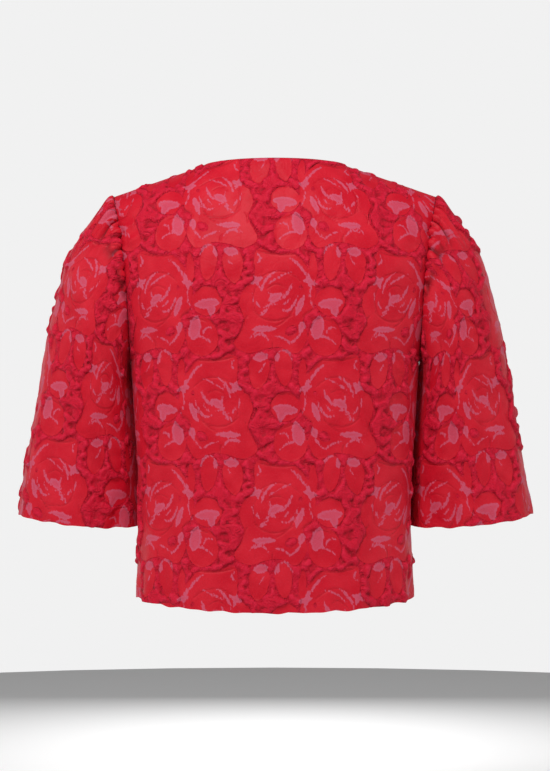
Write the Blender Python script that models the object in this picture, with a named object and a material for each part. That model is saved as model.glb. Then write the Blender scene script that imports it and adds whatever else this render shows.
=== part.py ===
"""Puff sleeve blouse, filled out as it is worn, with no wearer in it.

Four cut pieces, each a closed wall of cloth: the back, the front and two sleeves gathered
into the armholes. The blouse faces -Y and +Z is up. The origin is midway between the two neck
points, the inner ends of the shoulder seams, where the shoulders carry the blouse.
"""

import math
from collections import namedtuple

import bmesh
import bpy
from mathutils import Vector

# The cloth: a puckered double weave, so its wall is plain inside and raised outside
WALL = 0.0018
SEAM_GAP = 0.0003
GROUND_LEVEL = 0.0014
ISLAND_LEVEL = 0.0005
ISLAND_EDGE = 0.25

# The relief fades out over a hem, and over the last steps of the grid before a seam. Relief and
# folds both fade out where the sleeves and the body lie close together.
HEM_FADE = 0.014
SEAM_FADE_STEPS = 1.5
BODY_FADE = 0.2
SLEEVE_FADE = 0.5
SLEEVE_FOOT = -0.47
SLEEVE_FOOT_FADE = 0.03

# The neck points, the shoulder points and the armhole, which is an ellipse leaning in at its foot
NECK_HALF = 0.087
SHOULDER_HALF = 0.197
SHOULDER_DROP = 0.0375
ARMHOLE_HEIGHT = 0.2005
UNDERARM_HALF = 0.177
ARMHOLE_MIDDLE = -(SHOULDER_DROP + ARMHOLE_HEIGHT / 2)
UNDERARM = -(SHOULDER_DROP + ARMHOLE_HEIGHT)

# How square the level sections of the body are: 2 is an ellipse. The neckline takes this share of a
# panel's top edge, and its corner with the shoulder seam softens quickly below the edge.
SQUARENESS = 2.3
NECK_SHARE = 0.5
CORNER_SOFTENING = 14
SOFT_REACH_SHARE = 0.62
SOFT_WIDTH_POWER = 1.1
ROW_CROWDING = 6

Panel = namedtuple("Panel", "name facing hole_depth hole_inset neck_reach neck_level neck_roundness hem")
BACK = Panel("back", 1, 0.058, 0.006, 0.060, 0.0045, 1.20, -0.5375)
FRONT = Panel("front", -1, 0.054, 0.014, 0.088, -0.1100, 1.00, -0.5330)
SIDE_HEM = -0.527

# Half-widths of the body at its side seams, below the armholes
Width = namedtuple("Width", "z half_width")
WIDTHS = (
    Width(-0.545, 0.1712),
    Width(-0.500, 0.1690),
    Width(-0.440, 0.1665),
    Width(-0.380, 0.1678),
    Width(-0.314, 0.1722),
    Width(-0.238, 0.1770),
)

# How far the middle of each panel stands from the plane of the side seams
Depth = namedtuple("Depth", "z back front")
DEPTHS = (
    Depth(-0.545, 0.113, 0.116),
    Depth(-0.440, 0.107, 0.117),
    Depth(-0.340, 0.105, 0.120),
    Depth(-0.250, 0.109, 0.124),
    Depth(-0.190, 0.111, 0.119),
    Depth(-0.139, 0.110, 0.108),
    Depth(-0.090, 0.106, 0.096),
    Depth(-0.040, 0.100, 0.086),
    Depth(0.010, 0.094, 0.078),
)

# The sleeve's rings, from the armhole to the hem: the outer line runs over the puff and down the
# arm, and the inner line follows the underarm seam, just clear of the body
Ring = namedtuple("Ring", "along outer_x outer_z inner_x inner_z back front middle_y")
RINGS = (
    Ring(0.00, 0.1970, -0.0375, 0.1770, -0.2380, 0.058, 0.054, 0.000),
    Ring(0.04, 0.2040, -0.0408, 0.1786, -0.2415, 0.063, 0.059, 0.000),
    Ring(0.10, 0.2160, -0.0555, 0.1797, -0.2470, 0.067, 0.064, -0.001),
    Ring(0.18, 0.2345, -0.0790, 0.1797, -0.2560, 0.068, 0.066, -0.003),
    Ring(0.28, 0.2542, -0.1120, 0.1785, -0.2700, 0.066, 0.066, -0.006),
    Ring(0.40, 0.2680, -0.1580, 0.1768, -0.2920, 0.064, 0.064, -0.011),
    Ring(0.55, 0.2825, -0.2150, 0.1738, -0.3250, 0.062, 0.062, -0.017),
    Ring(0.70, 0.2935, -0.2800, 0.1703, -0.3650, 0.060, 0.060, -0.022),
    Ring(0.85, 0.3062, -0.3520, 0.1681, -0.4030, 0.060, 0.060, -0.026),
    Ring(1.00, 0.3190, -0.4262, 0.1670, -0.4415, 0.061, 0.061, -0.028),
)
# The arm hangs a little forward, so the lower rings are square to it, lower at the back. The
# armhole's insets run out over the first stretch of the sleeve.
ARM_LEAN = math.radians(5.6)
LEAN_FULL = 0.5
INSET_END = 0.3

# Gathers of the puff, by their angle on the armhole from its top towards the back
Gather = namedtuple("Gather", "degrees height length")
GATHERS = (
    Gather(-75.0, 0.0022, 0.12),
    Gather(-60.0, 0.0034, 0.18),
    Gather(-45.0, 0.0044, 0.22),
    Gather(-30.0, 0.0050, 0.26),
    Gather(-15.0, 0.0056, 0.24),
    Gather(0.0, 0.0060, 0.28),
    Gather(15.0, 0.0056, 0.25),
    Gather(30.0, 0.0052, 0.28),
    Gather(45.0, 0.0044, 0.22),
    Gather(60.0, 0.0034, 0.20),
    Gather(75.0, 0.0022, 0.14),
)
GATHER_HALF_WIDTH = 8.5
GATHER_RISE = 0.12

# Soft folds that hang from the chest, the shoulder blades and the puff, as shares of the way round
Fold = namedtuple("Fold", "piece place half_width depth start")
FOLDS = (
    Fold("back", -0.72, 0.13, 0.0030, 1.1),
    Fold("back", -0.30, 0.16, 0.0022, 0.7),
    Fold("back", 0.12, 0.14, -0.0020, 0.6),
    Fold("back", 0.66, 0.14, 0.0028, 1.0),
    Fold("front", -0.62, 0.15, 0.0034, 1.1),
    Fold("front", -0.18, 0.13, -0.0022, 0.7),
    Fold("front", 0.25, 0.15, 0.0026, 0.8),
    Fold("front", 0.70, 0.14, 0.0032, 1.1),
    Fold("sleeve", -0.58, 0.13, 0.0032, 0.9),
    Fold("sleeve", -0.16, 0.12, 0.0026, 0.6),
    Fold("sleeve", 0.20, 0.11, 0.0034, 0.8),
    Fold("sleeve", 0.50, 0.12, 0.0036, 0.9),
)

# The woven repeat: each row of roses has its leaves and buds, and the next row is its mirror image,
# half a repeat along. Right and down are as seen from outside, from the heart of the rose. Roses,
# leaves and buds are flat islands, and the ground between them stands above them in puckers.
REPEAT_ACROSS = 0.146
REPEAT_UP = 0.250
Island = namedtuple("Island", "right down half_width half_height")
ISLANDS = (
    Island(-0.003, -0.012, 0.0420, 0.0420),
    Island(-0.018, 0.044, 0.0190, 0.0220),
    Island(0.027, 0.044, 0.0220, 0.0230),
    Island(-0.063, 0.005, 0.0175, 0.0180),
    Island(-0.057, 0.047, 0.0200, 0.0230),
    Island(-0.008, 0.084, 0.0105, 0.0220),
    Island(0.021, 0.088, 0.0125, 0.0220),
)

# The largest puckers of the ground, each a ridge from one end to the other
Pucker = namedtuple("Pucker", "right down end_right end_down height")
PUCKERS = (
    Pucker(0.042, -0.014, 0.062, -0.022, 0.0034),
    Pucker(0.062, -0.022, 0.080, -0.010, 0.0037),
    Pucker(0.062, -0.004, 0.054, 0.014, 0.0032),
    Pucker(0.038, 0.029, 0.052, 0.020, 0.0034),
    Pucker(0.052, 0.020, 0.082, 0.027, 0.0038),
    Pucker(0.052, 0.022, 0.052, 0.046, 0.0034),
    Pucker(0.060, 0.058, 0.076, 0.044, 0.0032),
    Pucker(-0.050, 0.074, -0.038, 0.086, 0.0032),
    Pucker(-0.024, 0.070, -0.038, 0.092, 0.0030),
    Pucker(0.014, 0.112, -0.006, 0.110, 0.0032),
    Pucker(-0.006, 0.110, -0.028, 0.122, 0.0037),
    Pucker(0.008, 0.116, 0.020, 0.140, 0.0034),
)
PUCKER_HALF_WIDTH = 0.008

# Where the heart of one rose lies on each piece: to the right of its middle line, and above its hem
Place = namedtuple("Place", "right up")
ROSE_PLACES = {
    "back": Place(-0.0707, 0.248),
    "front": Place(-0.0690, 0.248),
    "sleeve_left": Place(0.0760, 0.049),
    "sleeve_right": Place(-0.0820, 0.152),
}

# Even counts, because the plain inside takes every second point
PANEL_COLUMNS = 36
LOWER_ROWS = 24
UPPER_ROWS = 24
SLEEVE_RINGS = 30
SLEEVE_SIDES = 2 * UPPER_ROWS
RING_CROWDING = 1.12
COARSE = 2

CLOTH_RED = (0.62, 0.022, 0.045, 1.0)
CLOTH_ROUGHNESS = 0.55

# A point of the cloth's plain form: its normal, its place on the flat cloth, and how much relief it takes
Spot = namedtuple("Spot", "base normal right up free")
SMALL_STEP = 1e-3
LEAST_SLOPE = 0.3


def smooth(share):
    """0 to 1 with level ends."""
    share = min(1.0, max(0.0, share))
    return share * share * (3 - 2 * share)


def blend(start, end, share):
    return start + (end - start) * share


def bump(distance):
    """1 at 0, falling smoothly to 0 at 1."""
    return (1 - min(1.0, abs(distance)) ** 2) ** 2


def read(rows, at, column):
    """A column of a table at a value of its first column, on a smooth curve through the rows."""
    keys = [row[0] for row in rows]
    values = [getattr(row, column) for row in rows]
    at = min(keys[-1], max(keys[0], at))
    i = max(k for k in range(len(keys) - 1) if keys[k] <= at)

    def slope(k):
        low, high = max(0, k - 1), min(len(keys) - 1, k + 1)
        return (values[high] - values[low]) / (keys[high] - keys[low])

    step = keys[i + 1] - keys[i]
    t = (at - keys[i]) / step
    return (
        values[i] * (1 + 2 * t) * (1 - t) ** 2
        + values[i + 1] * t * t * (3 - 2 * t)
        + step * t * (1 - t) * (slope(i) * (1 - t) - slope(i + 1) * t)
    )


def armhole(turn):
    """A point of the left armhole, at an angle from its top towards the back."""
    panel = BACK if math.sin(turn) >= 0 else FRONT
    middle = (SHOULDER_HALF + UNDERARM_HALF) / 2
    lean = (SHOULDER_HALF - UNDERARM_HALF) / 2
    return Vector((
        middle + lean * math.cos(turn) - panel.hole_inset * math.sin(turn) ** 2,
        panel.hole_depth * math.sin(turn),
        ARMHOLE_MIDDLE + ARMHOLE_HEIGHT / 2 * math.cos(turn),
    ))


def armhole_edge(panel, z):
    """How far out and how deep the body's own form is where the armhole cuts it."""
    level = min(1.0, max(-1.0, (z - ARMHOLE_MIDDLE) / (ARMHOLE_HEIGHT / 2)))
    edge = armhole(panel.facing * math.acos(level))
    return edge.x, panel.hole_depth if level > 0 else abs(edge.y)


def section(panel, share, z):
    """A point of the level section of the body, at a share of the way from its middle to its edge."""
    depth = read(DEPTHS, z, panel.name)
    half_width, reach = read(WIDTHS, z, "half_width"), 1.0
    if z > UNDERARM:
        edge_x, edge_y = armhole_edge(panel, z)
        reach = (1 - (edge_y / depth) ** SQUARENESS) ** (1 / SQUARENESS)
        half_width = edge_x / reach
    turn = share * math.asin(reach ** (SQUARENESS / 2))
    power = 2 / SQUARENESS
    return half_width * math.sin(turn) ** power, depth * max(0.0, math.cos(turn)) ** power


def top_edge(panel, share):
    """The neckline, then the shoulder seam, at a share of the way from the middle to the shoulder point."""
    if share < NECK_SHARE:
        turn = share / NECK_SHARE * math.pi / 2
        round_neck = math.cos(turn)
        return NECK_HALF * math.sin(turn), panel.neck_reach * round_neck, panel.neck_level * round_neck
    along = (share - NECK_SHARE) / (1 - NECK_SHARE)
    return blend(NECK_HALF, SHOULDER_HALF, along), 0.0, -SHOULDER_DROP * along


def row_share(rise, share):
    """How far up a row stands from the underarm to the top. Rows crowd where the cloth turns over."""
    turned = (1 - math.cos(math.pi * rise)) / 2
    crowding = share ** ROW_CROWDING if rise < 0.5 else smooth(share / NECK_SHARE)
    return blend(rise, turned, crowding)


def panel_point(panel, across, rise):
    """A point of a panel: across from -1 to 1, rise 0 at the hem, 1 at the underarm and 2 at the top."""
    share = abs(across)
    if rise <= 1:
        z = blend(blend(panel.hem, SIDE_HEM, smooth(share)), UNDERARM, rise)
        x, y = section(panel, share, z)
    else:
        top_x, top_y, top_z = top_edge(panel, share)
        z = blend(UNDERARM, top_z, row_share(rise - 1, share))
        x, y = section(panel, share, z)
        down = (top_z - z) / (top_z - ARMHOLE_MIDDLE)
        if down < 1:
            square = blend(panel.neck_roundness, 2.0, smooth(share / NECK_SHARE))
            turning = max(0.0, 1 - (1 - down) ** 2) ** (1 / square)
            corner = min(1.0, 1 - down) ** CORNER_SOFTENING
            soft_x = SHOULDER_HALF * share ** SOFT_WIDTH_POWER
            soft_y = panel.neck_reach * (1 - smooth(share / SOFT_REACH_SHARE))
            x += (1 - down) ** 2 * (blend(soft_x, top_x, corner) - section(panel, share, top_z)[0])
            y = blend(blend(soft_y, top_y, corner), y, turning)
    return Vector((math.copysign(x, across), panel.facing * y, z))


def sleeve_point(along, turn):
    """A point of the left sleeve: 0 to 1 along it to the hem, and turned from its outer line to the back."""
    cell = {column: read(RINGS, along, column) for column in Ring._fields[1:]}
    outer = Vector((cell["outer_x"], cell["middle_y"], cell["outer_z"]))
    inner = Vector((cell["inner_x"], cell["middle_y"], cell["inner_z"]))
    panel, depth = (BACK, cell["back"]) if math.sin(turn) >= 0 else (FRONT, cell["front"])
    lean = ARM_LEAN * smooth(along / LEAN_FULL)
    point = (outer + inner) / 2 + (outer - inner) / 2 * math.cos(turn)
    point.y += depth * math.sin(turn) * math.cos(lean)
    point.z -= depth * math.sin(turn) * math.sin(lean)
    point.x -= panel.hole_inset * math.sin(turn) ** 2 * (1 - smooth(along / INSET_END))
    return point


def off_body(turn):
    """0 on the strip of a sleeve that faces the body, 1 elsewhere."""
    return smooth((1 + math.cos(turn)) / SLEEVE_FADE)


def hanging_folds(piece, place, rise):
    """How far the soft folds move the whole wall outwards."""
    return sum(
        fold.depth * bump((place - fold.place) / fold.half_width) * smooth(1 - rise / fold.start)
        for fold in FOLDS
        if fold.piece == piece
    )


def gathers(along, turn):
    """Height of the puff's gathers, which start in the armhole seam and run out down the sleeve."""
    total = 0.0
    for gather in GATHERS:
        away = (math.degrees(turn) - gather.degrees) / GATHER_HALF_WIDTH
        run = along / gather.length
        total += gather.height * bump(away) * smooth(run / GATHER_RISE) * (1 - smooth(run))
    return total


def woven_relief(right, up):
    """Height of the ground and the islands at a point of the flat cloth, from the heart of a rose."""
    row = round(up / (REPEAT_UP / 2))
    ground, flat = GROUND_LEVEL, 0.0
    for near_row in (row - 1, row, row + 1):
        mirror = -1 if near_row % 2 else 1
        shift = REPEAT_ACROSS / 2 if near_row % 2 else 0.0
        down = near_row * REPEAT_UP / 2 - up
        column = round((right - shift) / REPEAT_ACROSS)
        for near_column in (column - 1, column, column + 1):
            side = mirror * (right - shift - near_column * REPEAT_ACROSS)
            ground = max(ground, pucker_height(side, down))
            flat = max(flat, on_island(side, down))
    return blend(ground, ISLAND_LEVEL, flat)


def on_island(right, down):
    """1 on one rose's islands, 0 on the ground round them."""
    nearest = min(
        math.hypot((right - i.right) / i.half_width, (down - i.down) / i.half_height) for i in ISLANDS
    )
    return smooth((1 - nearest) / ISLAND_EDGE)


def pucker_height(right, down):
    """Height of the puckers beside one rose."""
    height = 0.0
    for pucker in PUCKERS:
        start = Vector((pucker.right, pucker.down))
        line = Vector((pucker.end_right, pucker.end_down)) - start
        here = Vector((right, down)) - start
        share = min(1.0, max(0.0, here.dot(line) / line.length_squared))
        height = max(height, pucker.height * bump((here - line * share).length / PUCKER_HALF_WIDTH))
    return height


def surface_normal(surface, first, second, first_range, second_range):
    """Normal of a surface of two values, by small steps that stay within their ranges."""
    lows = max(first_range[0], first - SMALL_STEP), max(second_range[0], second - SMALL_STEP)
    highs = min(first_range[1], first + SMALL_STEP), min(second_range[1], second + SMALL_STEP)
    along_first = surface(highs[0], second) - surface(lows[0], second)
    along_second = surface(first, highs[1]) - surface(first, lows[1])
    return along_first.cross(along_second).normalized()


def panel_spots(panel):
    """The grid of a panel, from its hem up and from side to side."""
    grid = []
    for i in range(LOWER_ROWS + UPPER_ROWS + 1):
        rise = i / LOWER_ROWS if i <= LOWER_ROWS else 1 + (i - LOWER_ROWS) / UPPER_ROWS
        row = []
        for j in range(PANEL_COLUMNS + 1):
            across = 2 * j / PANEL_COLUMNS - 1
            normal = -panel.facing * surface_normal(
                lambda a, r: panel_point(panel, a, r), across, rise, (-1.0, 1.0), (0.0, 2.0)
            )
            point = panel_point(panel, across, rise)
            point += normal * hanging_folds(panel.name, across, rise) * off_sleeve(across, point.z)
            row.append((off_seam(panel, across, rise, point), normal))
        grid.append(row)
    return measured(grid, -panel.facing, PANEL_COLUMNS // 2, closed=False)


def off_sleeve(across, z):
    """0 at a side seam beside a sleeve, 1 elsewhere."""
    beside = smooth((z - SLEEVE_FOOT) / SLEEVE_FOOT_FADE)
    return blend(1.0, smooth((1 - abs(across)) / BODY_FADE), beside)


def off_seam(panel, across, rise, point):
    """The point moved off the seam that it lies on, by half the seam's gap."""
    if abs(across) == 1.0 and rise >= 1:
        point.x -= math.copysign(SEAM_GAP / 2, across)
    if (abs(across) == 1.0 and rise <= 1) or (rise == 2.0 and abs(across) >= NECK_SHARE):
        point.y = panel.facing * SEAM_GAP / 2
    return point


def sleeve_place(i, j):
    """How far along and how far round the sleeve a place of its grid is."""
    return (1 - i / SLEEVE_RINGS) ** RING_CROWDING, math.pi * (2 * j / SLEEVE_SIDES - 1)


def sleeve_spots():
    """The grid of the left sleeve, from its hem up, closed round the arm."""
    grid = []
    for i in range(SLEEVE_RINGS + 1):
        row = []
        for j in range(SLEEVE_SIDES):
            along, turn = sleeve_place(i, j)
            normal = surface_normal(sleeve_point, along, turn, (0.0, 1.0), (-math.tau, math.tau))
            point = sleeve_point(along, turn)
            point += normal * hanging_folds("sleeve", turn / math.pi, 1 - along) * off_body(turn)
            if along == 0:
                point.x += SEAM_GAP / 2
            row.append((point, normal))
        grid.append(row)
    return measured(grid, 1, SLEEVE_SIDES // 2, closed=True)


def measured(grid, facing, middle, closed):
    """Adds each point's place on the flat cloth: right of the middle line, and above the hem's middle."""
    spots = []
    heights = [0.0] * len(grid[0])
    hem = [0.0 if closed else (point - grid[0][middle][0]).z for point, _normal in grid[0]]
    for i, row in enumerate(grid):
        if i:
            heights = [h + climb(here, below, closed) for h, here, below in zip(heights, row, grid[i - 1])]
        places = [0.0] * len(row)
        for j in range(middle + 1, len(row)):
            places[j] = places[j - 1] + (row[j][0] - row[j - 1][0]).length
        for j in range(middle - 1, -1, -1):
            places[j] = places[j + 1] - (row[j][0] - row[j + 1][0]).length
        spots.append([])
        for j, (point, normal) in enumerate(row):
            steps = len(grid) - 1 - i if closed else min(len(grid) - 1 - i, j, len(row) - 1 - j)
            free = smooth(min(heights[j] / HEM_FADE, steps / SEAM_FADE_STEPS))
            spots[-1].append(Spot(point, normal, facing * places[j], heights[j] + hem[j], free))
    return spots


def climb(here, below, closed):
    """How far up the flat cloth a point lies from the one below it. Woven rows stay level on a panel."""
    step = here[0] - below[0]
    if closed:
        return step.length
    tilt = (here[1].z + below[1].z) / 2
    return abs(step.z) / max(LEAST_SLOPE, math.sqrt(1 - tilt * tilt))


def wall(name, spots, closed, flip, raised):
    """A closed wall of cloth: a raised outside, a plain inside of every second point, and rims."""
    mesh = bmesh.new()
    outside = [
        [mesh.verts.new(raised(i, j, spot)) for j, spot in enumerate(row)] for i, row in enumerate(spots)
    ]
    inside = {}
    for i in range(0, len(spots), COARSE):
        for j in range(0, len(spots[0]), COARSE):
            spot = spots[i][j]
            inside[i, j] = mesh.verts.new(spot.base - spot.normal * WALL)
    columns = len(spots[0])
    last_column = columns if closed else columns - 1

    def face(*corners):
        mesh.faces.new(corners[::-1] if flip else corners)

    for i in range(len(spots) - 1):
        for j in range(last_column):
            k = (j + 1) % columns
            face(outside[i][j], outside[i][k], outside[i + 1][k], outside[i + 1][j])
    for i in range(0, len(spots) - 1, COARSE):
        for j in range(0, last_column, COARSE):
            k = (j + COARSE) % columns
            face(inside[i, j], inside[i + COARSE, j], inside[i + COARSE, k], inside[i, k])

    def rim(edge, forward):
        """Joins a fine outer edge, given as grid places, to every second point of the inner one."""
        for start in range(0, len(edge) - 1, COARSE):
            fine = [outside[i][j] for i, j in edge[start:start + COARSE + 1]]
            coarse = [inside[edge[start]], inside[edge[start + COARSE]]]
            triangles = [
                (fine[0], coarse[0], fine[1]),
                (fine[1], coarse[0], coarse[1]),
                (fine[1], coarse[1], fine[2]),
            ]
            for triangle in triangles:
                face(*(triangle if forward else triangle[::-1]))

    top = len(spots) - 1
    around = [j % columns for j in range(last_column + 1)]
    rim([(0, j) for j in around], True)
    rim([(top, j) for j in around], False)
    if not closed:
        rim([(i, 0) for i in range(top + 1)], False)
        rim([(i, columns - 1) for i in range(top + 1)], True)

    data = bpy.data.meshes.new(name)
    mesh.to_mesh(data)
    mesh.free()
    data.shade_smooth()
    data.set_sharp_from_angle(angle=math.radians(60))
    data.materials.append(cloth_material(name))
    made = bpy.data.objects.new(name, data)
    bpy.context.scene.collection.objects.link(made)
    return made


def cloth_material(name):
    """The piece's own finish: a soft red cloth."""
    material = bpy.data.materials.new(name + "_cloth")
    material.use_nodes = True
    shader = material.node_tree.nodes["Principled BSDF"]
    shader.inputs["Base Color"].default_value = CLOTH_RED
    shader.inputs["Roughness"].default_value = CLOTH_ROUGHNESS
    shader.inputs["Metallic"].default_value = 0.0
    return material


def make_panel(panel):
    """The back or the front."""
    place = ROSE_PLACES[panel.name]

    def raised(_row, column, spot):
        across = 2 * column / PANEL_COLUMNS - 1
        relief = woven_relief(spot.right - place.right, spot.up - place.up)
        return spot.base + spot.normal * relief * spot.free * off_sleeve(across, spot.base.z)

    return wall(panel.name, panel_spots(panel), closed=False, flip=panel.facing > 0, raised=raised)


def make_sleeve(name, side):
    """One sleeve. The right one is the left one's mirror image, apart from where its roses fall."""
    place = ROSE_PLACES[name]
    mirror = Vector((side, 1, 1))
    spots = [
        [
            spot._replace(base=spot.base * mirror, normal=spot.normal * mirror, right=side * spot.right)
            for spot in row
        ]
        for row in sleeve_spots()
    ]

    def raised(i, j, spot):
        along, turn = sleeve_place(i, j)
        relief = woven_relief(spot.right - place.right, spot.up - place.up)
        return spot.base + spot.normal * (relief * spot.free * off_body(turn) + gathers(along, turn))

    return wall(name, spots, closed=True, flip=side < 0, raised=raised)


def main():
    """Clears the scene and makes the four pieces."""
    for old in list(bpy.data.objects):
        bpy.data.objects.remove(old)
    make_panel(BACK)
    make_panel(FRONT)
    make_sleeve("sleeve_left", 1)
    make_sleeve("sleeve_right", -1)


main()
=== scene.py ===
"""Looks of the puff sleeve blouse: four pieces of puckered rose cloth, filled out as worn, and a pale studio.

Each cut piece is a fine shell on the form of its solid. The relief of the cloth comes from one woven
repeat: a chart of roses, leaves and buds says where the two layers are woven together, and a small
simulation of the longer outer layer gives the puckers between them.
"""

from __future__ import annotations

import logging
import math
from dataclasses import dataclass, field
from enum import Enum
from typing import Callable

import bpy
import numpy as np
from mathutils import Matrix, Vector


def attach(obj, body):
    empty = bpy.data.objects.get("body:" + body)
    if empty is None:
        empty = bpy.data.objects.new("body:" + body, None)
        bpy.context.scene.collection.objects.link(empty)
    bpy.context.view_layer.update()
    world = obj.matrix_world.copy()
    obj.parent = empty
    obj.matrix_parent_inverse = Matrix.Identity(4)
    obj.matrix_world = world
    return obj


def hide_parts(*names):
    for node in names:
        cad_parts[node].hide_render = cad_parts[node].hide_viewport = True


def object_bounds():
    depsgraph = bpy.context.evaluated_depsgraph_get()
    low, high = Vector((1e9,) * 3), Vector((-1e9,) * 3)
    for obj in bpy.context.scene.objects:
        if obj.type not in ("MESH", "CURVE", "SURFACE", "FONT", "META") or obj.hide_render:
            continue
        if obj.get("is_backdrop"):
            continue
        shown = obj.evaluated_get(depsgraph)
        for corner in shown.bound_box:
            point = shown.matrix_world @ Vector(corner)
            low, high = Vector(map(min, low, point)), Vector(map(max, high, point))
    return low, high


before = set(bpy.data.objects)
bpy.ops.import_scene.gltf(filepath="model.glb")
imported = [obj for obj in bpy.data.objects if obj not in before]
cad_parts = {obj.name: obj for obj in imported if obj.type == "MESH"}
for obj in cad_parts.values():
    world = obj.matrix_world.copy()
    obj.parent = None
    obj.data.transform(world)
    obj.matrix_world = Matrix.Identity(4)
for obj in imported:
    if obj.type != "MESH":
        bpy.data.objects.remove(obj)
CAD_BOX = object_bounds()

log = logging.getLogger("blouse")
Array = np.ndarray
Box = tuple[float, float, float, float]
MM = 0.001
FAR_OUT = -1e3


def smooth(share: Array | float) -> Array:
    """0 to 1 with level ends."""
    share = np.clip(share, 0.0, 1.0)
    return share * share * (3 - 2 * share)


def blend(start: Array | float, end: Array | float, share: Array | float) -> Array:
    """A value part of the way from start to end."""
    return start + (end - start) * share


def bump(distance: Array) -> Array:
    """1 at 0, falling smoothly to 0 at 1."""
    return (1 - np.minimum(1.0, np.abs(distance)) ** 2) ** 2


@dataclass(frozen=True)
class Table:
    """Rows of sizes under named columns, read along its first column on a smooth curve.

    Attributes:
        columns: the columns' names, the key first.
        rows: one tuple for each row, in the order of the key.
    """

    columns: tuple[str, ...]
    rows: tuple[tuple[float, ...], ...]

    def read(self, at: Array, column: str) -> Array:
        """Reads one column at many values of the key.

        Args:
            at: values of the key, held within the table.
            column: the column's name.

        Returns:
            The column's value at each place.
        """
        keys = np.array([row[0] for row in self.rows])
        values = np.array([row[self.columns.index(column)] for row in self.rows])
        low = np.maximum(np.arange(len(keys)) - 1, 0)
        high = np.minimum(np.arange(len(keys)) + 1, len(keys) - 1)
        slopes = (values[high] - values[low]) / (keys[high] - keys[low])
        at = np.clip(at, keys[0], keys[-1])
        i = np.clip(np.searchsorted(keys, at, side="right") - 1, 0, len(keys) - 2)
        step = keys[i + 1] - keys[i]
        t = (at - keys[i]) / step
        return (
            values[i] * (1 + 2 * t) * (1 - t) ** 2
            + values[i + 1] * t * t * (3 - 2 * t)
            + step * t * (1 - t) * (slopes[i] * (1 - t) - slopes[i + 1] * t)
        )


class Ink(Enum):
    """What a shape of the woven chart is."""

    ISLAND = "island"
    GAP = "gap"
    ACCENT = "accent"
    TUCK = "tuck"
    RIDGE = "ridge"


def away_from_line(right: Array, down: Array, start: Array, end: Array) -> tuple[Array, Array]:
    """Measures from a straight line.

    Args:
        right: places to the right.
        down: and down.
        start: where the line starts, right and down.
        end: where it ends.

    Returns:
        How far each place is from the line, and the share of the line at its nearest point.
    """
    ux, uy = end[0] - start[0], end[1] - start[1]
    near = np.clip(((right - start[0]) * ux + (down - start[1]) * uy) / (ux * ux + uy * uy), 0.0, 1.0)
    return np.hypot(right - start[0] - near * ux, down - start[1] - near * uy), near


@dataclass(frozen=True)
class Leaf:
    """A closed shape of the chart: a leaf, bud or patch. Sizes are millimetres.

    Attributes:
        right: its middle, to the right of the rose's heart.
        down: its middle, below the rose's heart.
        length: from end to end.
        width: across its fullest place.
        turn: degrees from pointing down, towards the right.
        fullest: share of the length where it is fullest.
        point: 0.5 has round ends, 1 has pointed ones.
    """

    right: float
    down: float
    length: float
    width: float
    turn: float = 0.0
    fullest: float = 0.5
    point: float = 0.5

    STEEPEST = 1.5

    def box(self) -> Box:
        """Where it may lie: from and to, right and down."""
        reach = max(self.length, self.width) / 2
        return self.right - reach, self.right + reach, self.down - reach, self.down + reach

    def draw(self, right: Array, down: Array) -> Array:
        """About how far inside the shape each place is, in millimetres, less than 0 outside."""
        c, s = math.cos(math.radians(self.turn)), math.sin(math.radians(self.turn))
        x, y = right - self.right, down - self.down
        along, across = x * s + y * c, x * c - y * s
        share = along / self.length + 0.5
        side = np.where(share < self.fullest, self.fullest, 1 - self.fullest)
        off = np.abs(share - self.fullest) / side
        half = self.width / 2 * np.clip(1 - off * off, 0.0, None) ** self.point
        past = np.clip(off - 1, 0.0, None) * side * self.length
        steep = np.where(off < 1, self.width / self.length * off / side * self.point, 0.0)
        return (half - np.abs(across)) / np.sqrt(1 + np.minimum(steep, self.STEEPEST) ** 2) - past


@dataclass(frozen=True)
class Drawn:
    """A shape of the chart through some points, each right and down, in millimetres from the rose's heart."""

    points: tuple[tuple[float, float], ...]

    def box(self) -> Box:
        """Where it may lie: from and to, right and down."""
        rights, downs = zip(*self.points)
        return min(rights), max(rights), min(downs), max(downs)


@dataclass(frozen=True)
class Stroke(Drawn):
    """A line from its first point to its third, bending towards the second and thin at both ends."""

    width: float

    STEPS = 14
    THIN = 0.04

    def draw(self, right: Array, down: Array) -> Array:
        """About how far inside the stroke each place is, in millimetres, less than 0 outside."""
        best = np.full(np.shape(right), FAR_OUT)
        shares = np.linspace(0.0, 1.0, self.STEPS + 1)
        marks = list(zip(*self.points))
        points = [[(1 - t) ** 2 * a + 2 * t * (1 - t) * b + t * t * c for a, b, c in marks] for t in shares]
        for t, start, end in zip(shares, points, points[1:]):
            away, near = away_from_line(right, down, start, end)
            share = t + near / self.STEPS
            half = self.width / 2 * np.sqrt(np.clip(4 * share * (1 - share), self.THIN, 1.0))
            best = np.maximum(best, half - away)
        return best


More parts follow.
